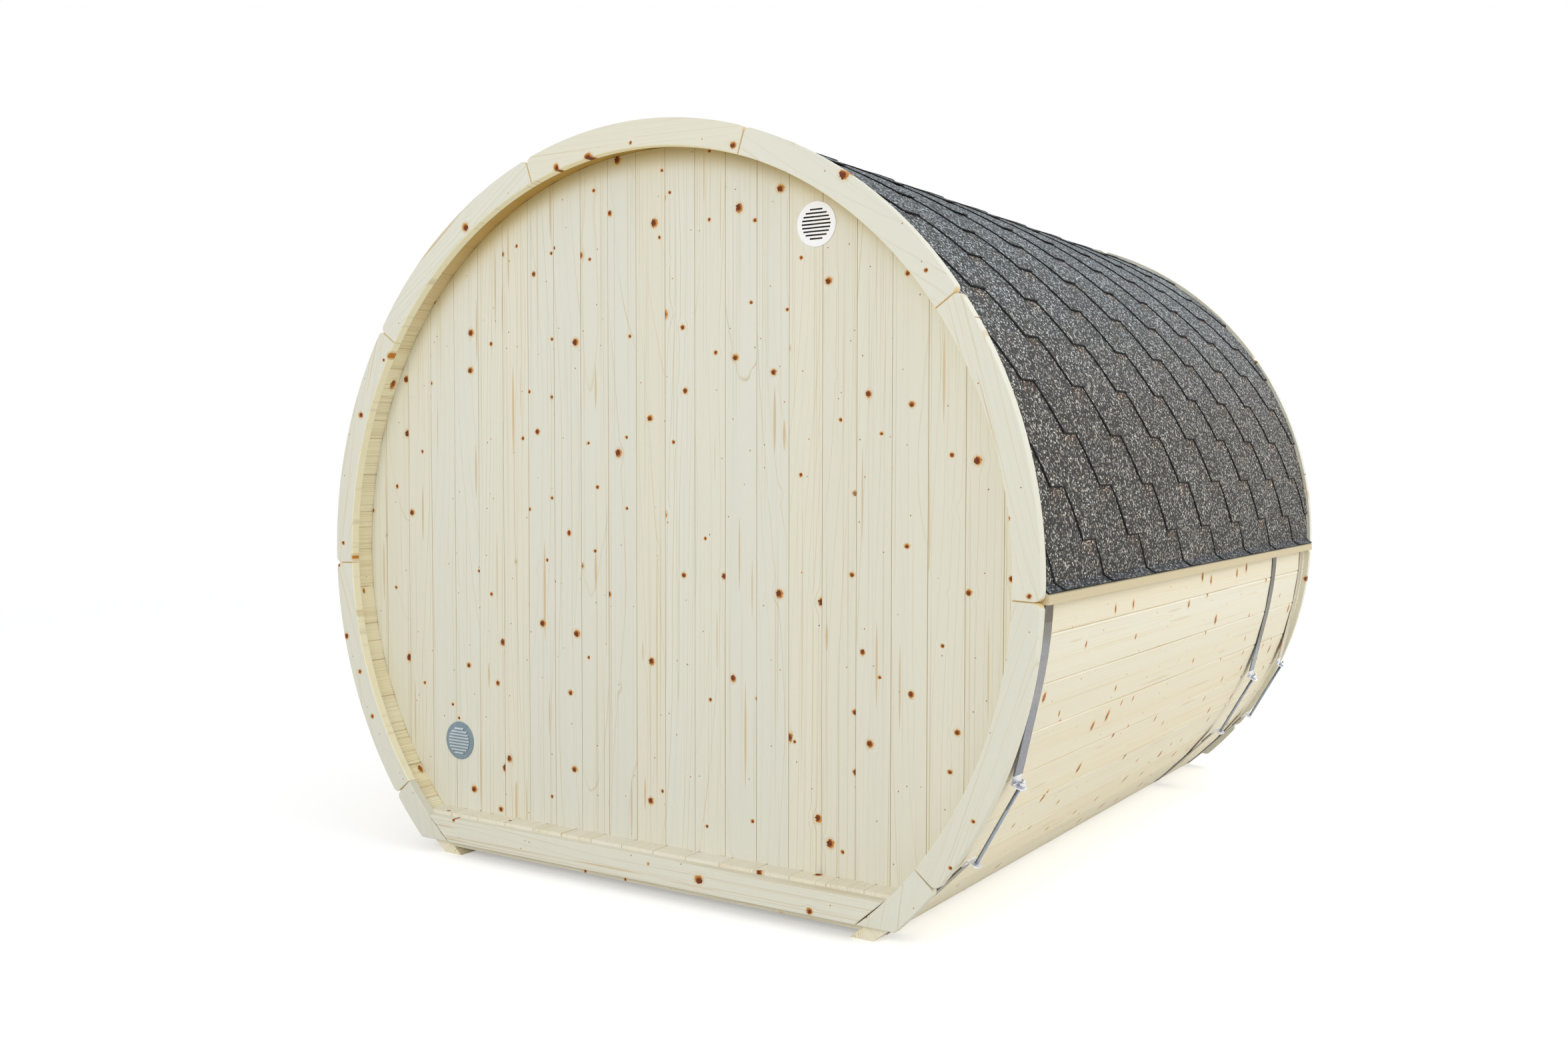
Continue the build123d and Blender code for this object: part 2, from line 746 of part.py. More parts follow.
# Long bolts: a head and washer under the lower lug, a washer and nut on top of the upper one
washer_top = upper_along - lug_thickness - seat_gap
nut_top = washer_top - washer_thickness - nut_thickness
bolt_top = nut_top - bolt_tip
washer_foot = lower_along + lug_thickness + seat_gap
head_foot = washer_foot + washer_thickness + head_thickness
with BuildPart() as tension_bolts:
    for y in hoop_positions:
        with BuildPart(mode=Mode.PRIVATE) as bolt:
            with BuildSketch(bolt_plane(bolt_top, y)):
                Circle(bolt_diameter / 2)
            extrude(amount=head_foot - bolt_top)
            for along in (washer_top - washer_thickness, washer_foot):
                with BuildSketch(bolt_plane(along, y)):
                    Circle(washer_diameter / 2)
                extrude(amount=washer_thickness)
            with BuildSketch(bolt_plane(nut_top, y)):
                RegularPolygon(nut_across_flats / 2, 6, major_radius=False)
            extrude(amount=nut_thickness)
            with BuildSketch(bolt_plane(head_foot - head_thickness, y)):
                RegularPolygon(nut_across_flats / 2, 6, major_radius=False)
            extrude(amount=head_thickness)
        add(bolt.part)
        mirror(bolt.part, about=Plane.YZ)
finish(tension_bolts, "tension_bolts")

# Air vents: a round flange on the end wall with a row of slots, and a duct through the wall
slot_edge = vent_duct_diameter / 2 - vent_duct_wall - vent_slot_margin


def slot_heights():
    """The slots' heights from a vent's middle."""
    first = -vent_slot_pitch * (vent_slot_count - 1) / 2
    return [first + number * vent_slot_pitch for number in range(vent_slot_count)]


def slot_half_length(height):
    """Half of a slot's length, which follows the round edge."""
    reach = abs(height) + vent_slot_height / 2
    return sqrt(slot_edge**2 - reach**2)


def air_vent(middle):
    """A flange with slots, and the tube behind it."""
    face = rear_wall_face - seat_gap
    with BuildPart() as vent:
        with BuildSketch(section_plane(face)):
            with Locations(middle):
                Circle(vent_diameter / 2)
        extrude(amount=vent_flange)
        chamfer(vent.faces().sort_by(Axis.Y)[0].edges(), vent_edge_chamfer)
        with BuildSketch(section_plane(face)):
            with Locations(middle):
                Circle(vent_duct_diameter / 2)
                Circle(vent_duct_diameter / 2 - vent_duct_wall, mode=Mode.SUBTRACT)
        extrude(amount=-(end_wall_thickness + seat_gap))
        with BuildSketch(section_plane(face)):
            for offset in slot_heights():
                with Locations((middle[0], middle[1] + offset)):
                    Rectangle(2 * slot_half_length(offset), vent_slot_height)
        extrude(amount=vent_flange, mode=Mode.SUBTRACT)
    return vent


upper_vent = air_vent(upper_vent_place)
finish(upper_vent, "upper_vent")

plain_vent = air_vent(lower_vent_place)
with BuildPart() as lower_vent:
    add(plain_vent.part)
    louvre_face = rear_wall_face - seat_gap - vent_flange
    for offset in slot_heights():
        top = axis_height + lower_vent_place[1] + offset + vent_slot_height / 2
        half = slot_half_length(offset)
        with BuildSketch(Plane.YZ.offset(lower_vent_place[0] - half)):
            with BuildLine():
                Polyline(
                    (louvre_face, top + vent_slot_height / 4),
                    (louvre_face - vent_louvre_reach, top - vent_slot_height),
                    (louvre_face - vent_louvre_reach + vent_louvre_thickness, top - vent_slot_height),
                    (louvre_face, top),
                    close=True,
                )
            make_face()
        extrude(amount=2 * half)
finish(lower_vent, "lower_vent")
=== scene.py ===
"""Looks of the barrel sauna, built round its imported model. Everything is in metres.

The barrel lies along Y with its closed end at -Y and its porch at +Y. The sections follow the
order in which the sauna is put together, and the studio with its camera comes last.
"""

import math

import bmesh
import bpy
import numpy as np
from mathutils import Matrix, Vector


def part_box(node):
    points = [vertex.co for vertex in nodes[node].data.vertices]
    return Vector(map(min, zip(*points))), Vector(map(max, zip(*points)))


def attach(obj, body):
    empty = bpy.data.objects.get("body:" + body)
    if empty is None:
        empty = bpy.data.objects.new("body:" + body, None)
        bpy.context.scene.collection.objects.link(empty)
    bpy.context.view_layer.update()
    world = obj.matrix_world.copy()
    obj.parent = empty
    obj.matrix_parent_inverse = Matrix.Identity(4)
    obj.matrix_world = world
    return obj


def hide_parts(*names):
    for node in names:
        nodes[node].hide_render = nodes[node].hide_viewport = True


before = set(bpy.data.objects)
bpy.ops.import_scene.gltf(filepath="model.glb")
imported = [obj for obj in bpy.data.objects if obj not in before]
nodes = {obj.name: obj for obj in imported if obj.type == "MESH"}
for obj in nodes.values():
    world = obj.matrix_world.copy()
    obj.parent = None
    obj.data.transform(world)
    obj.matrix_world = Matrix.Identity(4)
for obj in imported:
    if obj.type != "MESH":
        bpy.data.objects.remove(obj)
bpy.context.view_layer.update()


# Bearers
# Four planed spruce cross-members carry the floor between the foot staves. They are cut from one
# batch of planks, so their grain runs across the barrel.


class Wire:
    """One value in a material. Arithmetic on it adds the nodes that work the result out."""

    def __init__(self, finish, socket):
        self.finish = finish
        self.socket = socket

    def __add__(self, other):
        return self.finish.math("ADD", self, other)

    def __radd__(self, other):
        return self.finish.math("ADD", other, self)

    def __sub__(self, other):
        return self.finish.math("SUBTRACT", self, other)

    def __rsub__(self, other):
        return self.finish.math("SUBTRACT", other, self)

    def __mul__(self, other):
        return self.finish.math("MULTIPLY", self, other)

    def __rmul__(self, other):
        return self.finish.math("MULTIPLY", other, self)

    def __truediv__(self, other):
        return self.finish.math("DIVIDE", self, other)


class Finish:
    """A material being made up, with a short way to add each kind of node that it needs."""

    def __init__(self, name):
        self.material = bpy.data.materials.new(name)
        self.material.use_nodes = True
        self.tree = self.material.node_tree
        self.surface = self.tree.nodes["Principled BSDF"]
        self.place = self.node("ShaderNodeTexCoord").outputs["Object"]
        self.x, self.y, self.z = self.split(self.place)

    def join(self, value, socket):
        """Link a value to a socket, or set the socket where the value is a plain one."""
        if isinstance(value, Wire):
            value = value.socket
        if isinstance(value, bpy.types.NodeSocket):
            self.tree.links.new(value, socket)
        else:
            socket.default_value = value

    def node(self, kind, inputs=None, **settings):
        """Add a node, with its settings and the values of its inputs."""
        node = self.tree.nodes.new(kind)
        for name, setting in settings.items():
            setattr(node, name, setting)
        for key, value in (inputs or {}).items():
            self.join(value, node.inputs[key])
        return node

    def math(self, operation, *values):
        """One step of arithmetic."""
        node = self.node("ShaderNodeMath", dict(enumerate(values)), operation=operation)
        return Wire(self, node.outputs[0])

    def split(self, vector):
        """A vector's three parts."""
        node = self.node("ShaderNodeSeparateXYZ", {0: vector})
        return [Wire(self, socket) for socket in node.outputs]

    def vector(self, x, y, z=0.0):
        """A vector of three parts."""
        return Wire(self, self.node("ShaderNodeCombineXYZ", {0: x, 1: y, 2: z}).outputs[0])

    def fade(self, value, first, last):
        """A smooth step from 0 at the first value to 1 at the last one."""
        inputs = {"Value": value, "From Min": first, "From Max": last}
        node = self.node("ShaderNodeMapRange", inputs, interpolation_type="SMOOTHSTEP")
        return Wire(self, node.outputs[0])

    def noise(self, vector, scale=1.0, detail=2.0):
        """Soft noise between 0 and 1."""
        inputs = {"Vector": vector, "Scale": scale, "Detail": detail}
        return Wire(self, self.node("ShaderNodeTexNoise", inputs).outputs["Fac"])

    def chances(self, seed):
        """Three random values that stay the same wherever the seed does."""
        node = self.node("ShaderNodeTexWhiteNoise", {"W": seed}, noise_dimensions="1D")
        return self.split(node.outputs["Color"])

    def blend(self, amount, first, second):
        """A mix of two colours."""
        node = self.node("ShaderNodeMix", {0: amount, 6: first, 7: second}, data_type="RGBA")
        return Wire(self, node.outputs[2])

    def tinted(self, colour, tint):
        """A colour multiplied by another one."""
        node = self.node("ShaderNodeVectorMath", {0: colour, 1: tint}, operation="MULTIPLY")
        return Wire(self, node.outputs[0])

    def shade(self, colour, amount):
        """A colour made darker or lighter by a factor."""
        node = self.node("ShaderNodeVectorMath", {0: colour, 3: amount}, operation="SCALE")
        return Wire(self, node.outputs[0])

    def bump(self, height, distance):
        """Relief of a given depth on the surface."""
        inputs = {"Height": height, "Distance": distance}
        self.set("Normal", self.node("ShaderNodeBump", inputs).outputs[0])

    def set(self, name, value):
        """Link or set one of the surface's inputs."""
        self.join(value, self.surface.inputs[name])

    def base_colour(self):
        """What the base colour is linked to so far, to be mixed with more."""
        return self.surface.inputs["Base Color"].links[0].from_socket


def scatter(finish, board, across, along, cell_size, shifts, randomness=1.0):
    """Places strewn over a board, one in each cell: the way to the nearest, and its random values."""
    width, length = cell_size
    here_x = across / width + board * shifts[0]
    here_y = along / length + board * shifts[1]
    cell = finish.node(
        "ShaderNodeTexVoronoi",
        {"Vector": finish.vector(here_x, here_y), "Scale": 1.0, "Randomness": randomness},
        voronoi_dimensions="2D",
    )
    place_x, place_y, _ = finish.split(cell.outputs["Position"])
    return (here_x - place_x) * width, (here_y - place_y) * length, finish.split(cell.outputs["Color"])


def knot_shape(finish, along, across, board, gap, size, spike):
    """The nearest knot: how far off it is sideways, and in its own radii, and which way it leans."""
    side, up, chances = scatter(finish, board, across, along, (0.105, gap), (5.73, 3.37), 0.95)
    knot_a, knot_b, knot_c = chances
    side = side / spike
    grown = finish.fade(knot_b, 0.34, 0.36)
    radius = 0.0016 + grown * (0.0030 + size * knot_a * knot_a)
    ragged = finish.noise(finish.vector(side, up, board), 210.0, 3.0)
    reach = finish.math("SQRT", side * side + up * up * (0.7 + 0.8 * knot_c))
    ratio = reach / radius + (ragged - 0.5) * 1.15
    lean = (side * (knot_a - 0.5) * 1.4 + up * (knot_c - 0.35)) / radius
    return side, ratio, lean, knot_a, knot_c


def paint_knots(finish, colour, ratio, lean, knot_a, knot_c, ember):
    """The colour with its knots, and where they are. A few stay buried, and only bend the grain."""
    red = (0.340, 0.075, 0.012, 1.0)
    dark = (0.140, 0.024, 0.005, 1.0)
    orange = (0.560, 0.225, 0.036, 1.0)
    straw = (0.680, 0.430, 0.150, 1.0)
    knot = finish.fade(ratio, 1.06, 0.98)
    open_knot = 1.0 - finish.fade(knot_c, 0.86, 0.88)
    halo = finish.fade(ratio, 2.2, 0.9)
    heart = finish.fade(ratio + lean * 0.9, 0.95, 0.35)
    bark = finish.fade(ratio + lean * 0.5, 0.55, 0.80)
    colour = finish.blend(halo * halo * (0.40 + 0.50 * knot_c) * open_knot, colour, straw)
    wood = finish.blend(bark, finish.blend(ember, red, orange), orange)
    wood = finish.blend(heart * (0.55 + 0.45 * knot_a) * (1.0 - 0.55 * ember), wood, dark)
    return finish.blend(knot * 0.97 * open_knot, colour, wood), knot


def pin_knots(finish, along, across, board):
    """Where the small dots of needle-thin twigs are."""
    side, up, (pin_a, pin_b, _) = scatter(finish, board, across, along, (0.07, 0.21), (9.1, 2.3))
    reach = finish.math("SQRT", side * side + up * up)
    return finish.fade(reach, 0.0027, 0.0012) * finish.fade(pin_b, 0.55, 0.60) * (0.35 + 0.6 * pin_a)


def tongues(finish, along, across, board):
    """Where a ring just breaks the face and leaves a long brown tongue."""
    side, up, chances = scatter(finish, board, across, along, (0.052, 0.62), (4.7, 1.9))
    tongue_a, tongue_b, tongue_c = chances
    rise = up / (0.03 + 0.13 * tongue_a)
    half = (0.0012 + 0.0034 * tongue_b) * (1.0 - rise * rise)
    inside = finish.math("ABSOLUTE", side) - half
    tongue = finish.fade(inside, 0.0010, -0.0012) * finish.fade(tongue_c, 0.50, 0.62)
    return tongue * finish.fade(half, 0.0, 0.0006)


def growth_rings(finish, along, across, depth, board, chances, bend):
    """The dark late wood of the rings round a pith behind the face, and each year's random value."""
    chance_a, chance_b, chance_c = chances
    slow = finish.noise(finish.vector(along * 0.50, board * 7.1, 0.0), 1.0, 1.0)
    quick = finish.noise(finish.vector(along * 2.2, board * 3.3, across * 12.0), 1.0, 2.0)
    pith_across = (chance_a - 0.5) * 0.52
    pith_depth = 0.014 + 0.050 * chance_b
    sideways = across - bend - pith_across
    deep = depth + pith_depth + (slow - 0.5) * 0.030 + along * 0.004
    ring = finish.math("SQRT", sideways * sideways + deep * deep) + (quick - 0.5) * 0.0012
    rings_a_metre = 230.0 + 150.0 * chance_c
    count = ring * rings_a_metre
    slant = finish.math("ABSOLUTE", sideways) / ring + 0.05
    gap = (1.0 - finish.math("FRACT", count)) / (rings_a_metre * slant)
    late = finish.fade(gap, 0.0026, 0.0006) * finish.fade(gap, 0.0, 0.0005)
    year_seed = finish.math("FLOOR", count) + board * 31.0
    year = finish.node("ShaderNodeTexWhiteNoise", {"W": year_seed}, noise_dimensions="1D")
    return late, Wire(finish, year.outputs["Value"])


def spruce(
    finish, along, across, depth, board, pale, tan,
    knot_gap=0.18, knot_size=0.0074, spike=1.0, ember=0.0, flames=0.55, edge=None,
):
    """Planed spruce, with growth rings that the knots bend aside.

    The board's number gives it its own grain. Knots lie a gap apart along it, are drawn out across
    it by the spike factor, and turn more orange with the ember. The flames are how strongly the
    brown tongues show. The edge, if given, is the distance to the board's joint, whose groove is
    browned with painted shade.
    """
    warm_tint = (1.012, 0.996, 0.965, 1.0)
    cool_tint = (0.988, 1.0, 1.02, 1.0)
    tongue_brown = (0.64, 0.45, 0.23, 1.0)
    pin_brown = (0.19, 0.052, 0.016, 1.0)
    painted_groove_shade_gold = (0.58, 0.43, 0.19, 1.0)
    chances = finish.chances(board)
    board_place = finish, along, across, board
    side, ratio, lean, knot_a, knot_c = knot_shape(*board_place, knot_gap, knot_size, spike)
    bend = side * finish.fade(ratio, 4.5, 0.8) * 0.8
    late, year = growth_rings(finish, along, across, depth, board, chances, bend)

    broad = finish.noise(finish.vector(across * 24.0, along * 0.7, board * 1.7))
    streak = finish.noise(finish.vector(across * 210.0, along * 0.8, board * 4.9), 1.0, 3.0)
    fibre = finish.noise(finish.vector(across * 900.0, along * 14.0, depth * 900.0), 1.0, 2.0)
    strength = 0.14 + 0.80 * finish.fade(broad, 0.30, 0.70) * year
    lines = late * strength + finish.fade(streak, 0.57, 0.72) * 0.60
    tint = finish.blend(chances[1], warm_tint, cool_tint)
    colour = finish.tinted(finish.blend(lines, pale, tan), tint)
    colour = finish.shade(colour, 0.955 + 0.025 * chances[2] + 0.05 * fibre + 0.04 * broad)
    colour = finish.blend(tongues(*board_place) * flames, colour, tongue_brown)
    colour, knot = paint_knots(finish, colour, ratio, lean, knot_a, knot_c, ember)
    colour = finish.blend(pin_knots(*board_place), colour, pin_brown)
    # Painted shade: the groove by a joint is browned, more in some places than others, for the warm
    # shade inside it.
    if edge is not None:
        groove_shade_noise = finish.noise(finish.vector(along * 1.7, board * 2.9, 0.0), 1.0, 3.0)
        painted_groove_shade = finish.fade(edge, 0.0016, 0.0006)
        painted_groove_shade_amount = finish.fade(groove_shade_noise, 0.35, 0.70)
        colour = finish.blend(painted_groove_shade * (0.14 + 0.58 * painted_groove_shade_amount), colour, painted_groove_shade_gold)
    finish.set("Base Color", colour)
    finish.set("Roughness", 0.62 - 0.12 * late - 0.10 * knot)
    finish.set("Specular IOR Level", 0.12)
    finish.bump(late * 0.4 + fibre * 0.35 + knot * 0.5, 0.00022)
    return finish.material


def dress(material, *names):
    """Give CAD nodes a material."""
    for name in names:
        mesh = nodes[name].data
        mesh.materials.clear()
        mesh.materials.append(material)


cream = (0.790, 0.745, 0.600, 1.0)
cream_grain = (0.640, 0.530, 0.330, 1.0)
bearers_a_metre = 2.3

bearer_wood = Finish("bearer_spruce")
bearer_number = bearer_wood.math("ROUND", bearer_wood.y * bearers_a_metre)
spruce(bearer_wood, bearer_wood.x, bearer_wood.z, bearer_wood.y, bearer_number, cream, cream_grain)
dress(bearer_wood.material, "bearers")


# Floor
# Tongued spruce boards run the length of the barrel on the bearers. Their long edges are eased,
# so a fine groove shows between them in the porch, and the outermost follow the staves.

floor_low, floor_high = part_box("floor")
floor_board = 0.115
floor_groove = 0.003
floor_seam = 0.0008
floor_clearance = 0.0003
# Painted light: the floor boards are paler than the other spruce, to lift the shade where they meet
# the walls.
painted_lit_floor_cream = (0.870, 0.835, 0.715, 1.0)
floor_seed = 40.0
axis_height = 0.945
stave_inner = 1.178


def new_piece(name, shape, material, stands_for):
    """Turn a bmesh into a piece that rides on the sauna and stands for some of its CAD nodes."""
    bmesh.ops.recalc_face_normals(shape, faces=shape.faces[:])
    mesh = bpy.data.meshes.new(name)
    shape.to_mesh(mesh)
    shape.free()
    mesh.materials.append(material)
    piece = bpy.data.objects.new(name, mesh)
    bpy.context.scene.collection.objects.link(piece)
    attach(piece, "root")
    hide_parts(*stands_for)
    return piece


def long_bar(shape, outline, first, last):
    """Add a straight bar along Y with an outline of (x, z) points, counter-clockwise from -Y."""
    near = [shape.verts.new((x, first, z)) for x, z in outline]
    far = [shape.verts.new((x, last, z)) for x, z in outline]
    shape.faces.new(near)
    shape.faces.new(far[::-1])
    count = len(outline)
    for number in range(count):
        following = (number + 1) % count
        shape.faces.new((near[number], far[number], far[following], near[following]))


def half_chord(height):
    """Half of the floor's width at a height, inside the round of staves."""
    return math.sqrt((stave_inner - floor_clearance) ** 2 - (height - axis_height) ** 2)


floor_shape = bmesh.new()
top_half, bottom_half = half_chord(floor_high.z), half_chord(floor_low.z)
board_count = 2 * int(top_half / floor_board) + 1
eased = floor_high.z - floor_groove
for number in range(board_count):
    middle = (number - (board_count - 1) / 2) * floor_board
    left = low_left = middle - floor_board / 2 + floor_seam / 2
    right = low_right = middle + floor_board / 2 - floor_seam / 2
    top_left = left + floor_groove
    top_right = right - floor_groove
    if number == 0:
        top_left, left, low_left = -top_half, -half_chord(eased), -bottom_half
    if number == board_count - 1:
        top_right, right, low_right = top_half, half_chord(eased), bottom_half
    bar = [(low_left, floor_low.z), (low_right, floor_low.z), (right, eased)]
    bar += [(top_right, floor_high.z), (top_left, floor_high.z), (left, eased)]
    long_bar(floor_shape, bar, floor_low.y, floor_high.y)

floor_wood = Finish("floor_spruce")
floor_number = floor_wood.math("ROUND", floor_wood.x / floor_board)
floor_across = floor_wood.x - floor_number * floor_board
floor_edge = floor_board / 2 - floor_wood.math("ABSOLUTE", floor_across)
spruce(
    floor_wood,
    floor_wood.y,
    floor_across,
    floor_wood.z,
    floor_number + floor_seed,
    painted_lit_floor_cream,
    cream_grain,
    edge=floor_edge,
)
new_piece("floor_boards", floor_shape, floor_wood.material, ["floor"])


# Staves
# The round wall is made of 44 mm spruce staves, planed on bevelled sides so that they close to a
# ring, with eased outer edges. The last one on each side is cut level and stands on the ground.

stave_angle = 6.0
stave_outer = 1.222
hoop_places = (-1.261, 0.857, 1.266)
stave_seed = 90.0
# Painted light: the staves' warm cream is a sunlit copy of the walls' cooler cream.
painted_warm_light_cream = (0.840, 0.795, 0.655, 1.0)
warm_grain = (0.765, 0.650, 0.420, 1.0)
painted_floor_bounce_cream = (0.960, 0.905, 0.740, 1.0)
painted_highlight_cream = (1.000, 0.970, 0.860, 1.0)
# Painted light for inner faces: gold for light bounced between staves, deeper gold for shade.
painted_bounce_gold = (0.970, 0.905, 0.665, 1.0)
painted_shade_gold = (0.530, 0.330, 0.085, 1.0)
painted_bounce_grain = (0.500, 0.350, 0.130, 1.0)
painted_gap_shadow_brown = (0.020, 0.014, 0.009, 1.0)
beside_hoop = 0.0275


def round_the_barrel(finish):
    """The distance from the barrel's axis, and the angle round it in degrees."""
    rise = finish.z - axis_height
    radius = finish.math("SQRT", finish.x * finish.x + rise * rise)
    angle = finish.math("DEGREES", finish.math("ARCTAN2", rise, finish.x))
    return radius, angle


stave_wood = Finish("stave_spruce")
stave_radius, stave_turn = round_the_barrel(stave_wood)
stave_number = stave_wood.math("FLOOR", stave_turn / stave_angle)
stave_lean = stave_wood.math("RADIANS", stave_turn - (stave_number + 0.5) * stave_angle)
stave_across = stave_radius * stave_wood.math("SINE", stave_lean)
half_stave = stave_radius * math.sin(math.radians(stave_angle / 2))
stave_edge = half_stave - stave_wood.math("ABSOLUTE", stave_across) - 0.0010
# Painted light: the inner faces turn gold for the light bounced between the staves, and a deeper gold
# towards the top for painted shade under the vault.
inside = stave_wood.fade(stave_radius, 1.194, 1.184)
painted_shade_aloft = stave_wood.fade(stave_wood.z, 1.45, 2.08)
shaded_gold = stave_wood.blend(painted_shade_aloft, painted_bounce_gold, painted_shade_gold)
# Painted highlight: a pale band along each stave's upper edge, where the eased edge catches light.
upper_edge = half_stave - stave_across * stave_wood.math("SIGN", stave_wood.x)
on_outside = stave_wood.fade(stave_radius, 1.200, 1.210)
painted_edge_highlight = stave_wood.fade(upper_edge, 0.0055, 0.0040) * on_outside
# Painted light: the outer faces grow paler towards the ground, for light thrown up by the floor.
outer_cream = stave_wood.blend(stave_wood.fade(stave_wood.z, 0.55, 0.15), painted_warm_light_cream, painted_floor_bounce_cream)
outer_cream = stave_wood.blend(painted_edge_highlight * 0.85, outer_cream, painted_highlight_cream)
spruce(
    stave_wood,
    stave_wood.y,
    stave_across,
    stave_outer - stave_radius * stave_wood.math("COSINE", stave_lean),
    stave_number + stave_seed,
    stave_wood.blend(inside, outer_cream, shaded_gold),
    stave_wood.blend(inside, warm_grain, painted_bounce_grain),
    knot_gap=0.19,
    knot_size=0.0052,
    spike=1.55,
    ember=0.70,
    flames=0.30,
    edge=stave_edge,
)
# Painted shadow: a dark spot on each joint just beside a hoop, where the strap stands off the groove.
beside_strap = 1.0
for hoop in hoop_places:
    to_strap = stave_wood.math("ABSOLUTE", stave_wood.y - (hoop - beside_hoop))
    beside_strap = stave_wood.math("MINIMUM", beside_strap, to_strap)
painted_gap_shadow = stave_wood.fade(beside_strap, 0.0050, 0.0025) * stave_wood.fade(stave_edge, 0.0040, 0.0015)
stave_colour = stave_wood.blend(painted_gap_shadow * on_outside, stave_wood.base_colour(), painted_gap_shadow_brown)
stave_wood.set("Base Color", stave_colour)
vaults = [name for name in nodes if name.startswith("vault_")]
dress(stave_wood.material, "wall_right", "wall_left", "foot_right", "foot_left", *vaults)


# End walls
# Upright tongued boards, 105 mm wide, close the rear and carry the door in the porch. They are cut
# round at the top to fit the staves, and stand on the floor.

wall_board = 0.105
# Painted shade: walls, rims and corner boards take a cooler cream, a shaded copy of the staves'
# spruce.
painted_cool_shade_cream = (0.775, 0.758, 0.650, 1.0)
grey_grain = (0.630, 0.530, 0.340, 1.0)
painted_arch_shade_gold = (0.640, 0.510, 0.190, 1.0)
wall_seed = 163.0
porch_shift = 25.0

wall_wood = Finish("wall_spruce")
board_number = wall_wood.math("ROUND", wall_wood.x / wall_board)
behind = wall_wood.math("SIGN", wall_wood.y)
wall_across = wall_wood.x - board_number * wall_board
wall_reach, _ = round_the_barrel(wall_wood)
# Painted shade: the wall turns a darker gold just under the arch of staves.
painted_arch_shade = wall_wood.fade(wall_reach, 1.075, 1.178) * wall_wood.fade(wall_wood.z, 1.30, 1.95)
spruce(
    wall_wood,
    wall_wood.z,
    wall_across,
    wall_wood.y,
    board_number + wall_seed + behind * porch_shift,
    wall_wood.blend(painted_arch_shade * painted_arch_shade * 0.8, painted_cool_shade_cream, painted_arch_shade_gold),
    grey_grain,
    flames=0.70,
    edge=wall_board / 2 - wall_wood.math("ABSOLUTE", wall_across),
)
dress(wall_wood.material, "rear_wall", "porch_wall_left", "porch_wall_right", "porch_wall_head")


# Rims
# Each end has a ring of sawn spruce boards with rounded joint corners, a straight sill and a short
# board in each lower corner. The boards are cut from straight planks, so their grain is straight.

rim_turn = 36.8
rim_middle = 1.2025
rim_grain = (0.665, 0.590, 0.410, 1.0)
end_grain_painted_light_gold = (0.780, 0.620, 0.360, 1.0)
rim_seed = 233.0

rim_wood = Finish("rim_spruce")
rim_reach, rim_place = round_the_barrel(rim_wood)
from_top = rim_wood.math("WRAP", rim_place - 90.0, 180.0, -180.0)
rim_number = rim_wood.math("ROUND", from_top / rim_turn)
rim_lean = rim_wood.math("RADIANS", rim_number * rim_turn + 90.0)
from_joint = rim_turn / 2 - rim_wood.math("ABSOLUTE", from_top - rim_number * rim_turn)
# Painted light: the rim's inner face takes the staves' bounced-light gold.
painted_inner_edge_gold = rim_wood.fade(rim_reach, 1.1672, 1.1655)
lean_cos = rim_wood.math("COSINE", rim_lean)
lean_sin = rim_wood.math("SINE", rim_lean)
rim_rise = rim_wood.z - axis_height
spruce(
    rim_wood,
    rim_rise * lean_cos - rim_wood.x * lean_sin,
    rim_wood.x * lean_cos + rim_rise * lean_sin - rim_middle,
    rim_wood.y,
    rim_number + rim_seed + rim_wood.math("SIGN", rim_wood.y) * 12.0,
    rim_wood.blend(painted_inner_edge_gold, painted_cool_shade_cream, painted_bounce_gold),
    rim_grain,
    knot_gap=0.15,
    knot_size=0.0085,
    edge=rim_wood.math("RADIANS", from_joint) * rim_middle,
)
# The sawn end faces at the joints take end grain's gold, made paler as painted light against the shade
# in the joints.
rim_facing = rim_wood.node("ShaderNodeNewGeometry").outputs["True Normal"]
rim_facing_x, _, rim_facing_z = rim_wood.split(rim_facing)
round_the_rim = (rim_facing_z * rim_wood.x - rim_facing_x * rim_rise) / rim_reach
sawn_end = rim_wood.fade(rim_wood.math("ABSOLUTE", round_the_rim), 0.35, 0.60)
rim_colour = rim_wood.blend(sawn_end, rim_wood.base_colour(), end_grain_painted_light_gold)
rim_wood.set("Base Color", rim_colour)
rim_boards = [name for name in nodes if "_rim_" in name and not name.endswith(("sill", "feet"))]
dress(rim_wood.material, *rim_boards)

# Painted light: the sill is a little paler than the walls' cream, for the light it lacks.
painted_lit_sill_cream = (0.805, 0.788, 0.680, 1.0)
sill_middle = 0.08
sill_seed = 300.0

sill_wood = Finish("sill_spruce")
sill_number = sill_wood.math("SIGN", sill_wood.y) * 7.0 + sill_seed
sill_across = sill_wood.z - sill_middle
spruce(sill_wood, sill_wood.x, sill_across, sill_wood.y, sill_number, painted_lit_sill_cream, grey_grain)
dress(sill_wood.material, "rear_rim_sill", "front_rim_sill")

corner_lean = math.radians(76)
corner_middle = 0.87
corner_seed = 332.0

corner_wood = Finish("corner_spruce")
corner_side = corner_wood.math("SIGN", corner_wood.x)
corner_out = corner_wood.x * corner_side
spruce(
    corner_wood,
    corner_wood.z * math.sin(corner_lean) + corner_out * math.cos(corner_lean),
    corner_out * math.sin(corner_lean) - corner_wood.z * math.cos(corner_lean) - corner_middle,
    corner_wood.y,
    corner_side * 3.0 + corner_wood.math("SIGN", corner_wood.y) * 7.0 + corner_seed,
    painted_cool_shade_cream,
    rim_grain,
)
dress(corner_wood.material, "rear_rim_feet", "front_rim_feet")


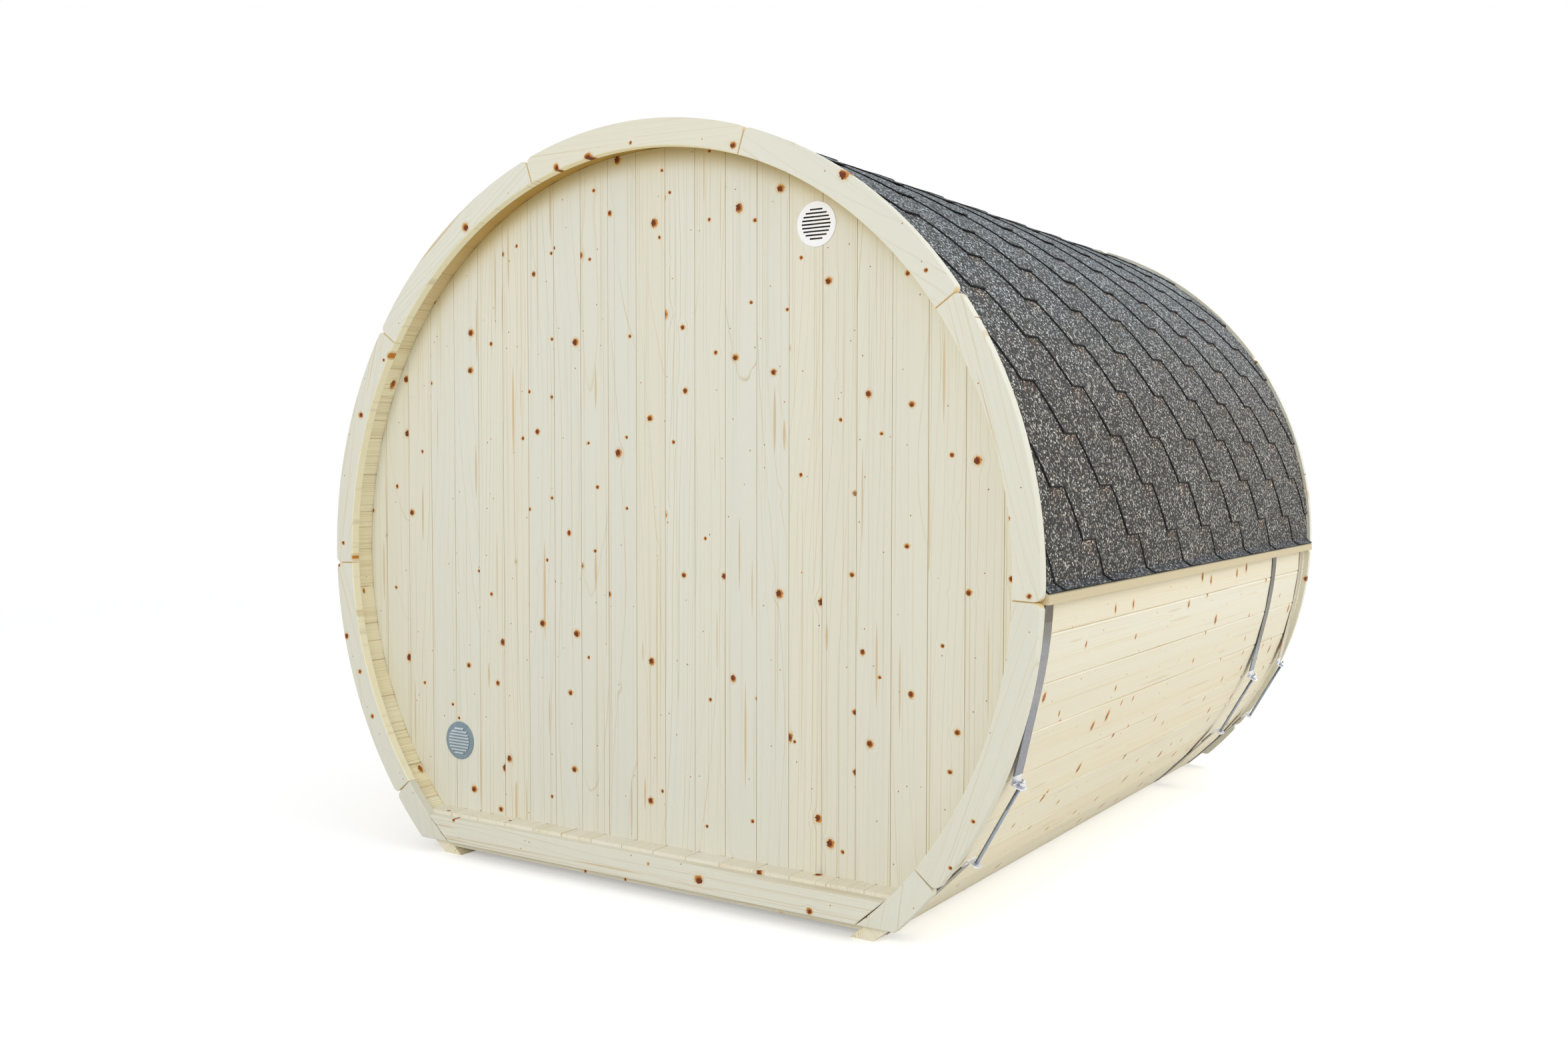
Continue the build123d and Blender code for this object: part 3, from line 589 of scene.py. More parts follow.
# Door
# A glazed spruce door hangs in a frame of the same wood. Stiles and jambs run upright between the
# rails, the pane is tinted and sits in a rebate, and the handle is an oiled round bar.

jamb_edge = 0.320
stile_edge = 0.221
rails_a_metre = 1.5


def joinery(name, edge, seed):
    """Spruce whose grain turns from upright to level inside an edge's distance from the middle."""
    finish = Finish(name)
    upright = finish.math("GREATER_THAN", finish.math("ABSOLUTE", finish.x), edge)
    level = 1.0 - upright
    along = finish.z * upright + finish.x * level
    across = finish.x * upright + finish.z * level
    rail = finish.math("ROUND", across * rails_a_metre)
    board = upright * 3.0 + rail * 2.0 + seed
    off_rail = across - rail / rails_a_metre
    spruce(finish, along, off_rail, finish.y, board, cream, cream_grain, knot_gap=0.6, knot_size=0.004)
    return finish.material


dress(joinery("door_frame_spruce", jamb_edge, 400.0), "door_frame")
dress(joinery("door_leaf_spruce", stile_edge, 430.0), "door_leaf")

glass_tints = (0.50, 0.52, 0.50, 1.0), (0.60, 0.62, 0.60, 1.0)
pane = Finish("tinted_glass")
pane.set("Transmission Weight", 1.0)
pane.set("IOR", 1.5)
smear = pane.noise(pane.place, 2.5, 3.0)
pane.set("Base Color", pane.blend(smear, *glass_tints))
pane.set("Roughness", 0.01 + 0.035 * smear)
dress(pane.material, "door_glass")

oiled_browns = (0.47, 0.29, 0.14, 1.0), (0.66, 0.46, 0.26, 1.0)
handle_wood = Finish("oiled_handle")
drawn_out = handle_wood.vector(handle_wood.x * 260.0, handle_wood.y * 260.0, handle_wood.z * 6.0)
handle_line = handle_wood.noise(drawn_out)
handle_wood.set("Base Color", handle_wood.blend(handle_line, *oiled_browns))
handle_wood.set("Roughness", 0.34 + 0.15 * handle_line)
handle_wood.bump(handle_line, 0.0002)
dress(handle_wood.material, "door_handle")

hinge_greys = (0.36, 0.36, 0.35, 1.0), (0.54, 0.54, 0.53, 1.0)
hinge_metal = Finish("hinge_steel")
hinge_metal.set("Metallic", 1.0)
drawn_out = hinge_metal.vector(hinge_metal.x * 900.0, hinge_metal.y * 900.0, hinge_metal.z * 40.0)
brushed = hinge_metal.noise(drawn_out)
hinge_metal.set("Base Color", hinge_metal.blend(brushed, *hinge_greys))
hinge_metal.set("Roughness", 0.28 + 0.2 * brushed)
dress(hinge_metal.material, "door_hinges")


# Eave battens
# A planed spruce batten on each side backs the shingles' lower edge, bevelled on top to throw the
# drip clear. It is screwed to the staves over the hoops.

batten_tan = (0.640, 0.555, 0.375, 1.0)
batten_grain = (0.560, 0.430, 0.220, 1.0)
batten_middle = 0.91
batten_seed = 500.0

batten_wood = Finish("batten_spruce")
spruce(
    batten_wood,
    batten_wood.y,
    batten_wood.z - batten_middle,
    batten_wood.x,
    batten_wood.math("SIGN", batten_wood.x) * 3.0 + batten_seed,
    batten_tan,
    batten_grain,
    knot_gap=0.40,
    knot_size=0.0060,
)
dress(batten_wood.material, "eave_battens")


# Shingles
# Strips of mineral-faced bitumen felt with hexagonal tabs are nailed on in courses from the eaves
# up. Each course covers the upper half of the one below, and the lowest bends out over the batten.

felt_thickness = 0.0025
felt_lift = 0.0013
felt_bead = 0.0031
course_height = math.radians(6.44) * 1.224
tab_pitch = 0.3333
tab_flat = 0.088
tab_wide = 0.244
tab_rows = 3
tab_stagger = 0.168
first_tab = -1.5113
eave_angle = math.radians(-0.35)
felt_radius = 1.2243
first_course = math.radians(4.4 + 0.35) * felt_radius - course_height
course_total = 14
tabs_in_course = 10
course_wander = 0.004
felt_spare = 0.05
lip_length = 0.0275
lip_lean = math.radians(-38.4)
lip_bend = 0.014
roof_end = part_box("roof_right")[1].y
ridge_gap = 0.004


class Plan:
    """A Geometry Nodes tree being made up, with named inputs and one mesh as its result."""

    def __init__(self, name):
        self.tree = bpy.data.node_groups.new(name, "GeometryNodeTree")
        self.tree.interface.new_socket("Geometry", in_out="OUTPUT", socket_type="NodeSocketGeometry")
        self.inputs = self.tree.nodes.new("NodeGroupInput")
        self.result = self.tree.nodes.new("NodeGroupOutput")
        self.identifiers = {}

    def input(self, name, kind):
        """Add a named input to the tree."""
        socket = self.tree.interface.new_socket(name, in_out="INPUT", socket_type=kind)
        self.identifiers[name] = socket.identifier
        return self.inputs.outputs[name]

    def node(self, kind, inputs=None, **settings):
        """Add a node, with its settings and the values of its inputs."""
        node = self.tree.nodes.new(kind)
        for name, setting in settings.items():
            setattr(node, name, setting)
        for key, value in (inputs or {}).items():
            if isinstance(value, bpy.types.NodeSocket):
                self.tree.links.new(value, node.inputs[key])
            else:
                node.inputs[key].default_value = value
        return node

    def math(self, operation, *values):
        """One step of arithmetic."""
        return self.node("ShaderNodeMath", dict(enumerate(values)), operation=operation).outputs[0]

    def random(self, inputs):
        """A random value between two others, by default between 0 and 1."""
        node = self.node("FunctionNodeRandomValue", inputs, data_type="FLOAT")
        return next(socket for socket in node.outputs if socket.enabled)

    def lay(self, total, place, piece, seed, material):
        """End the tree: so many of a piece at their places, each with a tone of its own."""
        row_inputs = {"Count": total, "Offset": (0, 0, 0)}
        row = self.node("GeometryNodeMeshLine", row_inputs, mode="OFFSET").outputs[0]
        points = self.node("GeometryNodeSetPosition", {"Geometry": row, "Position": place}).outputs[0]
        inputs = {"Points": points, "Instance": piece}
        pieces = self.node("GeometryNodeInstanceOnPoints", inputs).outputs[0]
        toned = self.node(
            "GeometryNodeStoreNamedAttribute",
            {"Geometry": pieces, "Name": "tab_tone", "Value": self.random({"Seed": seed})},
            data_type="FLOAT",
            domain="INSTANCE",
        ).outputs[0]
        plain = self.node("GeometryNodeRealizeInstances", {0: toned}).outputs[0]
        inputs = {"Geometry": plain, "Material": material}
        dressed = self.node("GeometryNodeSetMaterial", inputs).outputs[0]
        self.tree.links.new(dressed, self.result.inputs[0])

    def grow(self, unit, values):
        """Run the tree on a unit shape and hand back the result as a bmesh."""
        mesh = bpy.data.meshes.new("unit")
        unit.to_mesh(mesh)
        unit.free()
        carrier = bpy.data.objects.new("carrier", mesh)
        bpy.context.scene.collection.objects.link(carrier)
        modifier = carrier.modifiers.new("plan", "NODES")
        modifier.node_group = self.tree
        for name, value in values.items():
            modifier[self.identifiers[name]] = value
        scene_state = bpy.context.evaluated_depsgraph_get()
        grown = bpy.data.meshes.new_from_object(carrier.evaluated_get(scene_state))
        carrier.modifiers.remove(modifier)
        bpy.data.objects.remove(carrier)
        shape = bmesh.new()
        shape.from_mesh(grown)
        bpy.data.meshes.remove(grown)
        return shape


def slab(shape, rows):
    """Add a closed sheet from rows of (first y, last y, x, top, bottom), from its lower edge up."""
    corners = []
    for first, last, x, top, bottom in rows:
        corners.append([shape.verts.new(place) for place in (
            (x, first, top), (x, last, top), (x, last, bottom), (x, first, bottom))])
    for low, high in zip(corners, corners[1:]):
        for side in range(4):
            after = (side + 1) % 4
            shape.faces.new((low[side], low[after], high[after], high[side]))
    shape.faces.new(corners[0][::-1])
    shape.faces.new(corners[-1])


def felt_top(climb):
    """How high a sheet's face lies above the staves, at a distance up from its lower edge."""
    open_part = max(0.0, 1.0 - (climb / course_height) ** 3)
    return felt_thickness * (3.0 - climb / course_height) + felt_lift * open_part


def felt_tab():
    """One tab of a strip laid flat: X up the roof, Y along it and Z out from it.

    Its upper part carries the granules. The lower part is bitumen, and squeezes out a little.
    """
    tab = bmesh.new()
    bitumen = tab.verts.layers.float.new("bitumen")
    for bead, share in ((0.0, 0.0), (felt_bead, 0.35)):
        made = len(tab.verts)
        rows = []
        for step in range(tab_rows + 1):
            climb = course_height * step / tab_rows
            half = (tab_flat + (tab_wide - tab_flat) * step / tab_rows) / 2 + bead
            top, low = felt_top(climb), felt_top(climb) - felt_thickness
            rows.append((-half, half, climb - bead, top - (top - low) * share, low))
        for step in range(1, tab_rows + 2):
            climb = course_height * (1 + step / tab_rows)
            half = tab_wide / 2 + bead
            top, low = felt_top(climb), max(felt_top(climb) - felt_thickness, 0)
            rows.append((-half, half, climb, top - (top - low) * share, low))
        slab(tab, rows)
        tab.verts.ensure_lookup_table()
        for vert in tab.verts[made:]:
            vert[bitumen] = 1.0 if bead else 0.0
    return tab


def cut_off(shape, place, direction):
    """Cut a shape's closed pieces off at a plane, and close them again."""
    everything = shape.verts[:] + shape.edges[:] + shape.faces[:]
    cut = bmesh.ops.bisect_plane(
        shape, geom=everything, dist=1e-7, plane_co=place, plane_no=direction, clear_outer=True)
    open_edges = [item for item in cut["geom_cut"] if isinstance(item, bmesh.types.BMEdge)]
    bmesh.ops.holes_fill(shape, edges=open_edges, sides=0)


def crease(shape, place):
    """Add a row of vertices across a shape, so that it can bend there."""
    everything = shape.verts[:] + shape.edges[:] + shape.faces[:]
    bmesh.ops.bisect_plane(shape, geom=everything, dist=1e-7, plane_co=place, plane_no=(1, 0, 0))


def wrap_on_roof(shape, side):
    """Bend flat felt round the barrel. Below the eave it follows the lip out over the batten."""
    steep = math.pi / -2 + eave_angle
    for vert in shape.verts:
        climb, y, height = vert.co
        if climb >= lip_bend / 2:
            angle = eave_angle + climb / felt_radius
            x = (felt_radius + height) * math.cos(angle)
            z = (felt_radius + height) * math.sin(angle)
        else:
            bent = min(lip_bend / 2 - climb, lip_bend)
            turned = (lip_lean - steep) * bent / lip_bend
            straight = max(-lip_bend / 2 - climb, 0)
            arc = lip_bend / (lip_lean - steep)
            start = eave_angle + lip_bend / 2 / felt_radius
            unbent = steep + math.pi / 2
            outward = steep + turned + math.pi / 2
            x = felt_radius * math.cos(start) + arc * (math.cos(unbent) - math.cos(outward))
            z = felt_radius * math.sin(start) - arc * (math.sin(outward) - math.sin(unbent))
            x += straight * math.cos(lip_lean)
            z += straight * math.sin(lip_lean)
            x += height * math.cos(outward)
            z += height * math.sin(outward)
        vert.co = (side * x, y, axis_height + z)


tab_plan = Plan("shingle_courses")
tab_input = tab_plan.input("Tab", "NodeSocketGeometry")
courses_input = tab_plan.input("Courses", "NodeSocketInt")
tabs_input = tab_plan.input("Tabs in a course", "NodeSocketInt")
height_input = tab_plan.input("Course height", "NodeSocketFloat")
pitch_input = tab_plan.input("Tab pitch", "NodeSocketFloat")
first_input = tab_plan.input("First course", "NodeSocketFloat")
start_input = tab_plan.input("First tab", "NodeSocketFloat")
stagger_input = tab_plan.input("Stagger", "NodeSocketFloat")
wander_input = tab_plan.input("Wander", "NodeSocketFloat")
seed_input = tab_plan.input("Seed", "NodeSocketInt")
felt_input = tab_plan.input("Felt", "NodeSocketMaterial")
tab_total = tab_plan.math("MULTIPLY", courses_input, tabs_input)
index = tab_plan.node("GeometryNodeInputIndex").outputs[0]
course = tab_plan.math("FLOOR", tab_plan.math("DIVIDE", index, tabs_input))
tab_number = tab_plan.math("SUBTRACT", index, tab_plan.math("MULTIPLY", course, tabs_input))
odd = tab_plan.math("MODULO", course, 2.0)
up_roof = tab_plan.math("MULTIPLY_ADD", course, height_input, first_input)
along_roof = tab_plan.math("MULTIPLY_ADD", tab_number, pitch_input, start_input)
along_roof = tab_plan.math("MULTIPLY_ADD", odd, stagger_input, along_roof)
lowest = tab_plan.math("MULTIPLY", wander_input, -1.0)
drift_inputs = {"Min": lowest, "Max": wander_input, "ID": course, "Seed": seed_input}
along_roof = tab_plan.math("ADD", along_roof, tab_plan.random(drift_inputs))
tab_place = tab_plan.node("ShaderNodeCombineXYZ", {0: up_roof, 1: along_roof}).outputs[0]
tab_plan.lay(tab_total, tab_place, tab_input, seed_input, felt_input)

bluish = (0.95, 1.0, 1.05, 1.0)
brownish = (1.08, 0.98, 0.86, 1.0)
painted_low_shade_tint = (0.92, 0.89, 0.84, 1.0)
painted_sky_sheen_tint = (0.98, 1.13, 1.25, 1.0)
tan_tint = (1.28, 1.00, 0.78, 1.0)
painted_lip_shade_tint = (0.66, 0.74, 0.86)
bitumen_black = (0.008, 0.008, 0.009, 1.0)
granules_a_metre = 225.0
granule_push = (0.0005, 0.0005, 0.0005)

felt = Finish("mineral_felt")
felt_tone = Wire(felt, felt.node("ShaderNodeAttribute", attribute_name="tab_tone").outputs["Fac"])
felt_rise = felt.z - axis_height
felt_out = felt.math("SQRT", felt.x * felt.x + felt_rise * felt_rise)
slope_turn = felt.math("ARCTAN2", felt_rise, felt.math("ABSOLUTE", felt.x))
up_slope = slope_turn * felt_radius
streaked = felt.vector(up_slope, felt.y * 0.66, felt_out + felt.math("SIGN", felt.x))
melt = felt.node("ShaderNodeTexNoise", {"Vector": streaked, "Scale": 320.0, "Detail": 2.0})
pushed = felt.node(
    "ShaderNodeVectorMath",
    {0: melt.outputs["Color"], 1: granule_push, 2: streaked},
    operation="MULTIPLY_ADD",
)
fleck_inputs = {"Vector": pushed.outputs[0], "Scale": granules_a_metre}
fleck = felt.node("ShaderNodeTexVoronoi", fleck_inputs)
fleck_a, fleck_b, _ = felt.split(fleck.outputs["Color"])
fleck_reach = Wire(felt, fleck.outputs["Distance"])
patch = felt.noise(felt.place, 3.5, 3.0)
grit = felt.noise(streaked, 700.0, 2.0)
mineral = felt.blend(fleck_b, bluish, brownish)
between = felt.fade(fleck_reach, 0.75, 0.35)
lively = fleck_a * fleck_a
sparkle = 0.022 + lively * lively * (0.15 + 0.85 * between) * 0.92 + 0.070 * grit * grit
granules = felt.shade(mineral, sparkle * (0.73 + 0.12 * felt_tone + 0.22 * patch))
courses_up = ((slope_turn - eave_angle) * felt_radius - first_course) / course_height
next_course = felt.math("CEIL", courses_up)
under_flat = (next_course - courses_up) * course_height
tab_shift = felt.math("MODULO", felt.math("ABSOLUTE", next_course), 2.0) * tab_stagger
tab_count = (felt.y - first_tab - tab_shift) / tab_pitch
off_tab = felt.math("ABSOLUTE", tab_count - felt.math("ROUND", tab_count)) * tab_pitch
tanned = felt.fade(under_flat, 0.050, 0.008) * felt.fade(off_tab, 0.054, 0.034)
# Painted light: darker and warmer low on the roof for painted shade, bluer and lighter near the ridge
# for a painted sky sheen.
tint = felt.blend(felt.fade(felt_rise, 0.30, 1.10), painted_low_shade_tint, painted_sky_sheen_tint)
tint = felt.blend(tanned * 0.55 * felt.fade(felt_rise, 1.15, 0.70), tint, tan_tint)
granules = felt.tinted(granules, tint)
# Painted shade: the lip bent out below the eave is darker and bluer.
painted_lip_shade = felt.fade(felt_rise, 0.002, -0.008)
granules = felt.blend(painted_lip_shade, granules, felt.tinted(granules, painted_lip_shade_tint))
facing = felt.node("ShaderNodeNewGeometry").outputs["True Normal"]
facing_x, _, facing_z = felt.split(facing)
outward = (facing_x * felt.x + facing_z * felt_rise) / felt_out
cut = felt.math("MAXIMUM", felt.fade(outward, 0.45, 0.30), felt.fade(facing_z, -0.25, -0.35))
bitumen_part = Wire(felt, felt.node("ShaderNodeAttribute", attribute_name="bitumen").outputs["Fac"])
cut = felt.math("MAXIMUM", cut, felt.fade(bitumen_part, 0.3, 0.7))
felt.set("Base Color", felt.blend(cut, granules, bitumen_black))
felt.set("Roughness", 0.86)
felt.set("Specular IOR Level", 0.25)
felt.bump(fleck_a * 0.6 + fleck_b * 0.5, 0.0008)


def roof_felt(side, roof_seed):
    """The shingles of one side of the roof, from the lip over the batten to the ridge."""
    roof = tab_plan.grow(felt_tab(), {
        "Courses": course_total,
        "Tabs in a course": tabs_in_course,
        "Course height": course_height,
        "Tab pitch": tab_pitch,
        "First course": first_course,
        "First tab": first_tab,
        "Stagger": tab_stagger,
        "Wander": course_wander,
        "Seed": roof_seed,
        "Felt": felt.material,
    })
    starter_rows = []
    ends = -roof_end - felt_spare, roof_end + felt_spare
    for climb in np.linspace(-felt_spare, course_height, 8):
        top = felt_thickness * (2.0 - 0.9 * max(climb, 0) / course_height)
        starter_rows.append((*ends, climb, top, top - felt_thickness))
    slab(roof, starter_rows)
    cut_off(roof, (-lip_length, 0, 0), (-1, 0, 0))
    cut_off(roof, (felt_radius * (math.pi / 2 - eave_angle) - ridge_gap, 0, 0), (1, 0, 0))
    cut_off(roof, (0, -roof_end, 0), (0, -1, 0))
    cut_off(roof, (0, roof_end, 0), (0, 1, 0))
    for share in (-0.5, -0.25, 0, 0.25, 0.5):
        crease(roof, (lip_bend * share, 0, 0))
    wrap_on_roof(roof, side)
    return roof


for side, name, roof_seed in ((1, "right", 7), (-1, "left", 19)):
    roof = roof_felt(side, roof_seed)
    shingles = new_piece("shingles_" + name, roof, felt.material, ["roof_" + name])
    shingles.data.shade_smooth()
    shingles.data.set_sharp_from_angle(angle=math.radians(25))


# Ridge cap
# Short pieces of the same felt are bent over the ridge and lapped along it, each nailed under the
# next one.

cap_half = math.radians(5.5) * felt_radius
cap_show = 0.150
cap_length = 0.260
cap_bend_rows = 8
cap_gap = 0.0003
cap_base = felt_thickness * 3.0 + cap_gap
cap_overshoot = 0.02

cap_plan = Plan("lapped_caps")
cap_input = cap_plan.input("Cap", "NodeSocketGeometry")
cap_count_input = cap_plan.input("Caps", "NodeSocketInt")
cap_show_input = cap_plan.input("Part that shows", "NodeSocketFloat")
cap_start_input = cap_plan.input("First cap", "NodeSocketFloat")
cap_seed_input = cap_plan.input("Seed", "NodeSocketInt")
cap_felt_input = cap_plan.input("Felt", "NodeSocketMaterial")
cap_index = cap_plan.node("GeometryNodeInputIndex").outputs[0]
cap_along = cap_plan.math("MULTIPLY_ADD", cap_index, cap_show_input, cap_start_input)
cap_place = cap_plan.node("ShaderNodeCombineXYZ", {1: cap_along}).outputs[0]
cap_plan.lay(cap_count_input, cap_place, cap_input, cap_seed_input, cap_felt_input)

cap_unit = bmesh.new()
cap_rows = []
lap_lift = felt_thickness * cap_length / cap_show
for step in range(cap_bend_rows + 1):
    across = cap_half * (2 * step / cap_bend_rows - 1)
    cap_rows.append((0.0, cap_length, across, cap_base + felt_thickness, cap_base))
slab(cap_unit, cap_rows)
for vert in cap_unit.verts:
    vert.co.z += lap_lift * (1 - vert.co.y / cap_length)
cap_shape = cap_plan.grow(cap_unit, {
    "Caps": int(2 * roof_end / cap_show) + 2,
    "Part that shows": cap_show,
    "First cap": -roof_end - cap_overshoot,
    "Seed": 3,
    "Felt": felt.material,
})
cut_off(cap_shape, (0, -roof_end, 0), (0, -1, 0))
cut_off(cap_shape, (0, roof_end, 0), (0, 1, 0))
for vert in cap_shape.verts:
    angle = math.pi / 2 - vert.co.x / felt_radius
    reach = felt_radius + vert.co.z
    vert.co = (reach * math.cos(angle), vert.co.y, axis_height + reach * math.sin(angle))
cap_piece = new_piece("ridge_caps", cap_shape, felt.material, ["ridge_cap"])
cap_piece.data.shade_smooth()
cap_piece.data.set_sharp_from_angle(angle=math.radians(25))


# Hoops
# Three straps of galvanised steel, 50 mm wide, draw the barrel together. Their zinc is a mottled
# grey, with painted shade towards the eave, painted reflections of sky and wood lower down, and a
# painted highlight on the bent lugs at their ends.

upper_lug = Vector((1.14058, -0.50069))
lower_lug = Vector((1.02432, -0.70664))
painted_sky_reflection_lavender = (0.205, 0.208, 0.235, 1.0)
painted_reflection_grey_zinc = (0.235, 0.230, 0.230, 1.0)
painted_half_shade_zinc = (0.165, 0.155, 0.125, 1.0)
painted_eave_shadow_zinc = (0.110, 0.092, 0.066, 1.0)
painted_eave_shade_olive_zinc = (0.125, 0.118, 0.092, 1.0)
painted_sky_reflection_zinc = (0.230, 0.262, 0.285, 1.0)
painted_wood_reflection_zinc = (0.470, 0.420, 0.320, 1.0)
foot_zinc = (0.210, 0.195, 0.170, 1.0)
painted_lug_highlight_zincs = (0.56, 0.57, 0.61, 1.0), (0.74, 0.75, 0.78, 1.0)

strap_metal = Finish("galvanised_strap")
strap_metal.set("Metallic", 0.9)
strap_out, _ = round_the_barrel(strap_metal)
spangle = strap_metal.node("ShaderNodeTexVoronoi", {"Vector": strap_metal.place, "Scale": 190.0})
spangle_a, _, _ = strap_metal.split(spangle.outputs["Color"])
dull = strap_metal.noise(strap_metal.place, 7.0, 4.0)
mottle = strap_metal.noise(strap_metal.place, 260.0, 3.0)
low_down = strap_metal.fade(strap_metal.z, 0.62, 0.50)
# Painted light by place: lavender and blue for painted sky reflections, a lighter grey band, darker
# bands towards the eave for painted shade, and beige on the porch hoop for a painted reflection of the
# rim's wood. The lower straps are olive grey.
strap_colour = painted_sky_reflection_lavender
for place, first, last, zinc in (
    (strap_metal.z, 0.620, 0.660, painted_reflection_grey_zinc),
    (strap_metal.z, 0.780, 0.830, painted_half_shade_zinc),
    (strap_metal.z, 0.846, 0.850, painted_eave_shadow_zinc),
    (strap_metal.y, 0.40, 0.60, strap_metal.blend(low_down, painted_eave_shade_olive_zinc, painted_sky_reflection_zinc)),
    (strap_metal.y, 1.05, 1.10, painted_wood_reflection_zinc),
    (strap_metal.z, 0.235, 0.225, foot_zinc),
):
    strap_colour = strap_metal.blend(strap_metal.fade(place, first, last), strap_colour, zinc)
zinc_tone = 0.70 + 0.25 * spangle_a + 0.20 * dull + 0.20 * mottle
strap_colour = strap_metal.shade(strap_colour, zinc_tone)
strap_side = strap_metal.math("ABSOLUTE", strap_metal.x)
# Painted highlight: the bent lugs and the brackets' outer parts are a brighter zinc.
painted_lug_highlight = 0.0
for lug in (upper_lug, lower_lug):
    lug_x, lug_z = strap_side - lug.x, strap_metal.z - (axis_height + lug.y)
    from_lug = strap_metal.math("SQRT", lug_x * lug_x + lug_z * lug_z)
    painted_lug_highlight = strap_metal.math("MAXIMUM", painted_lug_highlight, strap_metal.fade(from_lug, 0.0243, 0.0238))
painted_lug_highlight = strap_metal.math("MAXIMUM", painted_lug_highlight, strap_metal.fade(strap_out, 1.2480, 1.2490))
strap_colour = strap_metal.blend(painted_lug_highlight, strap_colour, strap_metal.blend(dull, *painted_lug_highlight_zincs))
strap_metal.set("Base Color", strap_colour)
strap_metal.set("Roughness", 0.30 + 0.25 * dull)
strap_metal.bump(mottle, 0.0002)
dress(strap_metal.material, "upper_straps", "lower_straps")


# Tension bolts
# A long zinc-plated M10 bolt draws each pair of lugs together. Its head and a washer sit under the
# lower lug, and a washer and a nut on the upper one, where the end of the rod is threaded.

bolt_angle = math.radians(-29.1504)
bolt_out = Vector((math.cos(bolt_angle), math.sin(bolt_angle)))
bolt_down = Vector((bolt_out.y, -bolt_out.x))
bolt_offset = 0.013
rod_radius = 0.005
thread_pitch = 0.0015
thread_depth = 0.0007
thread_length = 0.090
nut_radius = 0.0085 / math.cos(math.pi / 6)
nut_height = 0.008
head_height = 0.0064
washer_radius = 0.0105
washer_height = 0.002
lug_thickness = 0.003
seat_gap = 0.0003
rod_tip = 0.009


def turned(shape, seat, outline, sides):
    """Add a closed solid round a bolt, from an outline of (distance down the bolt, radius)."""
    middle, down, across = seat
    square = down.cross(across)
    rings = []
    for along, radius in outline:
        ring = []
        for number in range(sides):
            angle = 2 * math.pi * number / sides
            spoke = across * math.cos(angle) + square * math.sin(angle)
            ring.append(shape.verts.new(middle + down * along + spoke * radius))
        rings.append(ring)
    for ring, below in zip(rings, rings[1:]):
        for number in range(sides):
            following = (number + 1) % sides
            shape.faces.new((ring[number], ring[following], below[following], below[number]))
    shape.faces.new(rings[0])
    shape.faces.new(rings[-1])


def hexagon(first, last):
    """The outline of a nut or a head, with its corners taken off at both ends."""
    bevel = 0.0008
    face = nut_radius * 0.90
    return [(first, face), (first + bevel, nut_radius), (last - bevel, nut_radius), (last, face)]


nut_seat = upper_lug.dot(bolt_down) - lug_thickness - seat_gap
head_seat = lower_lug.dot(bolt_down) + lug_thickness + seat_gap
nut_foot = nut_seat - washer_height
head_foot = head_seat + washer_height
rod_start = nut_foot - nut_height - rod_tip
rod_outline = [(rod_start, rod_radius - thread_depth)]
for number in range(int(thread_length / thread_pitch)):
    crest = rod_start + thread_pitch * (number + 0.5)
    rod_outline.append((crest, rod_radius))
    rod_outline.append((crest + thread_pitch / 2, rod_radius - thread_depth))
rod_outline.append((rod_start + thread_length + thread_pitch, rod_radius))
rod_outline.append((head_foot, rod_radius))
turned_parts = (
    (rod_outline, 16),
    (hexagon(nut_foot - nut_height, nut_foot), 6),
    (hexagon(head_foot, head_foot + head_height), 6),
    ([(nut_foot, washer_radius), (nut_seat, washer_radius)], 32),
    ([(head_seat, washer_radius), (head_foot, washer_radius)], 32),
)
bolt_x, bolt_z = bolt_out * (upper_lug.dot(bolt_out) + bolt_offset)

bolt_shape = bmesh.new()
for side in (1, -1):
    for hoop in hoop_places:
        middle = Vector((side * bolt_x, hoop, axis_height + bolt_z))
        seat = middle, Vector((side * bolt_down.x, 0, bolt_down.y)), Vector((0, 1, 0))
        for outline, sides in turned_parts:
            turned(bolt_shape, seat, outline, sides)

painted_dark_reflection_zincs = (0.20, 0.23, 0.27, 1.0), (0.34, 0.37, 0.41, 1.0)
bright_zincs = (0.50, 0.52, 0.55, 1.0), (0.74, 0.76, 0.80, 1.0)

bolt_metal = Finish("zinc_bolt")
bolt_metal.set("Metallic", 1.0)
bolt_stain = bolt_metal.noise(bolt_metal.place, 60.0, 3.0)
bolt_side = bolt_metal.math("ABSOLUTE", bolt_metal.x)
bolt_rise = bolt_metal.z - axis_height
down_bolt = bolt_side * bolt_down.x + bolt_rise * bolt_down.y
on_rod = bolt_metal.fade(bolt_metal.math("ABSOLUTE", down_bolt), head_seat + 0.001, head_seat)
# Painted reflection: the rod is darker than the nuts and washers, for the dark surroundings it
# mirrors.
painted_dark_rod_zinc = bolt_metal.blend(bolt_stain, *painted_dark_reflection_zincs)
bright_zinc = bolt_metal.blend(bolt_stain, *bright_zincs)
bolt_metal.set("Base Color", bolt_metal.blend(on_rod, bright_zinc, painted_dark_rod_zinc))
bolt_metal.set("Roughness", 0.20 + 0.2 * bolt_stain)
new_piece("threaded_bolts", bolt_shape, bolt_metal.material, ["tension_bolts"])


# Air vents
# The upper vent is a white plastic grille and the lower one a grey painted metal one with pressed
# louvres. Each flange lies on the wall, on a duct that fits through its hole.

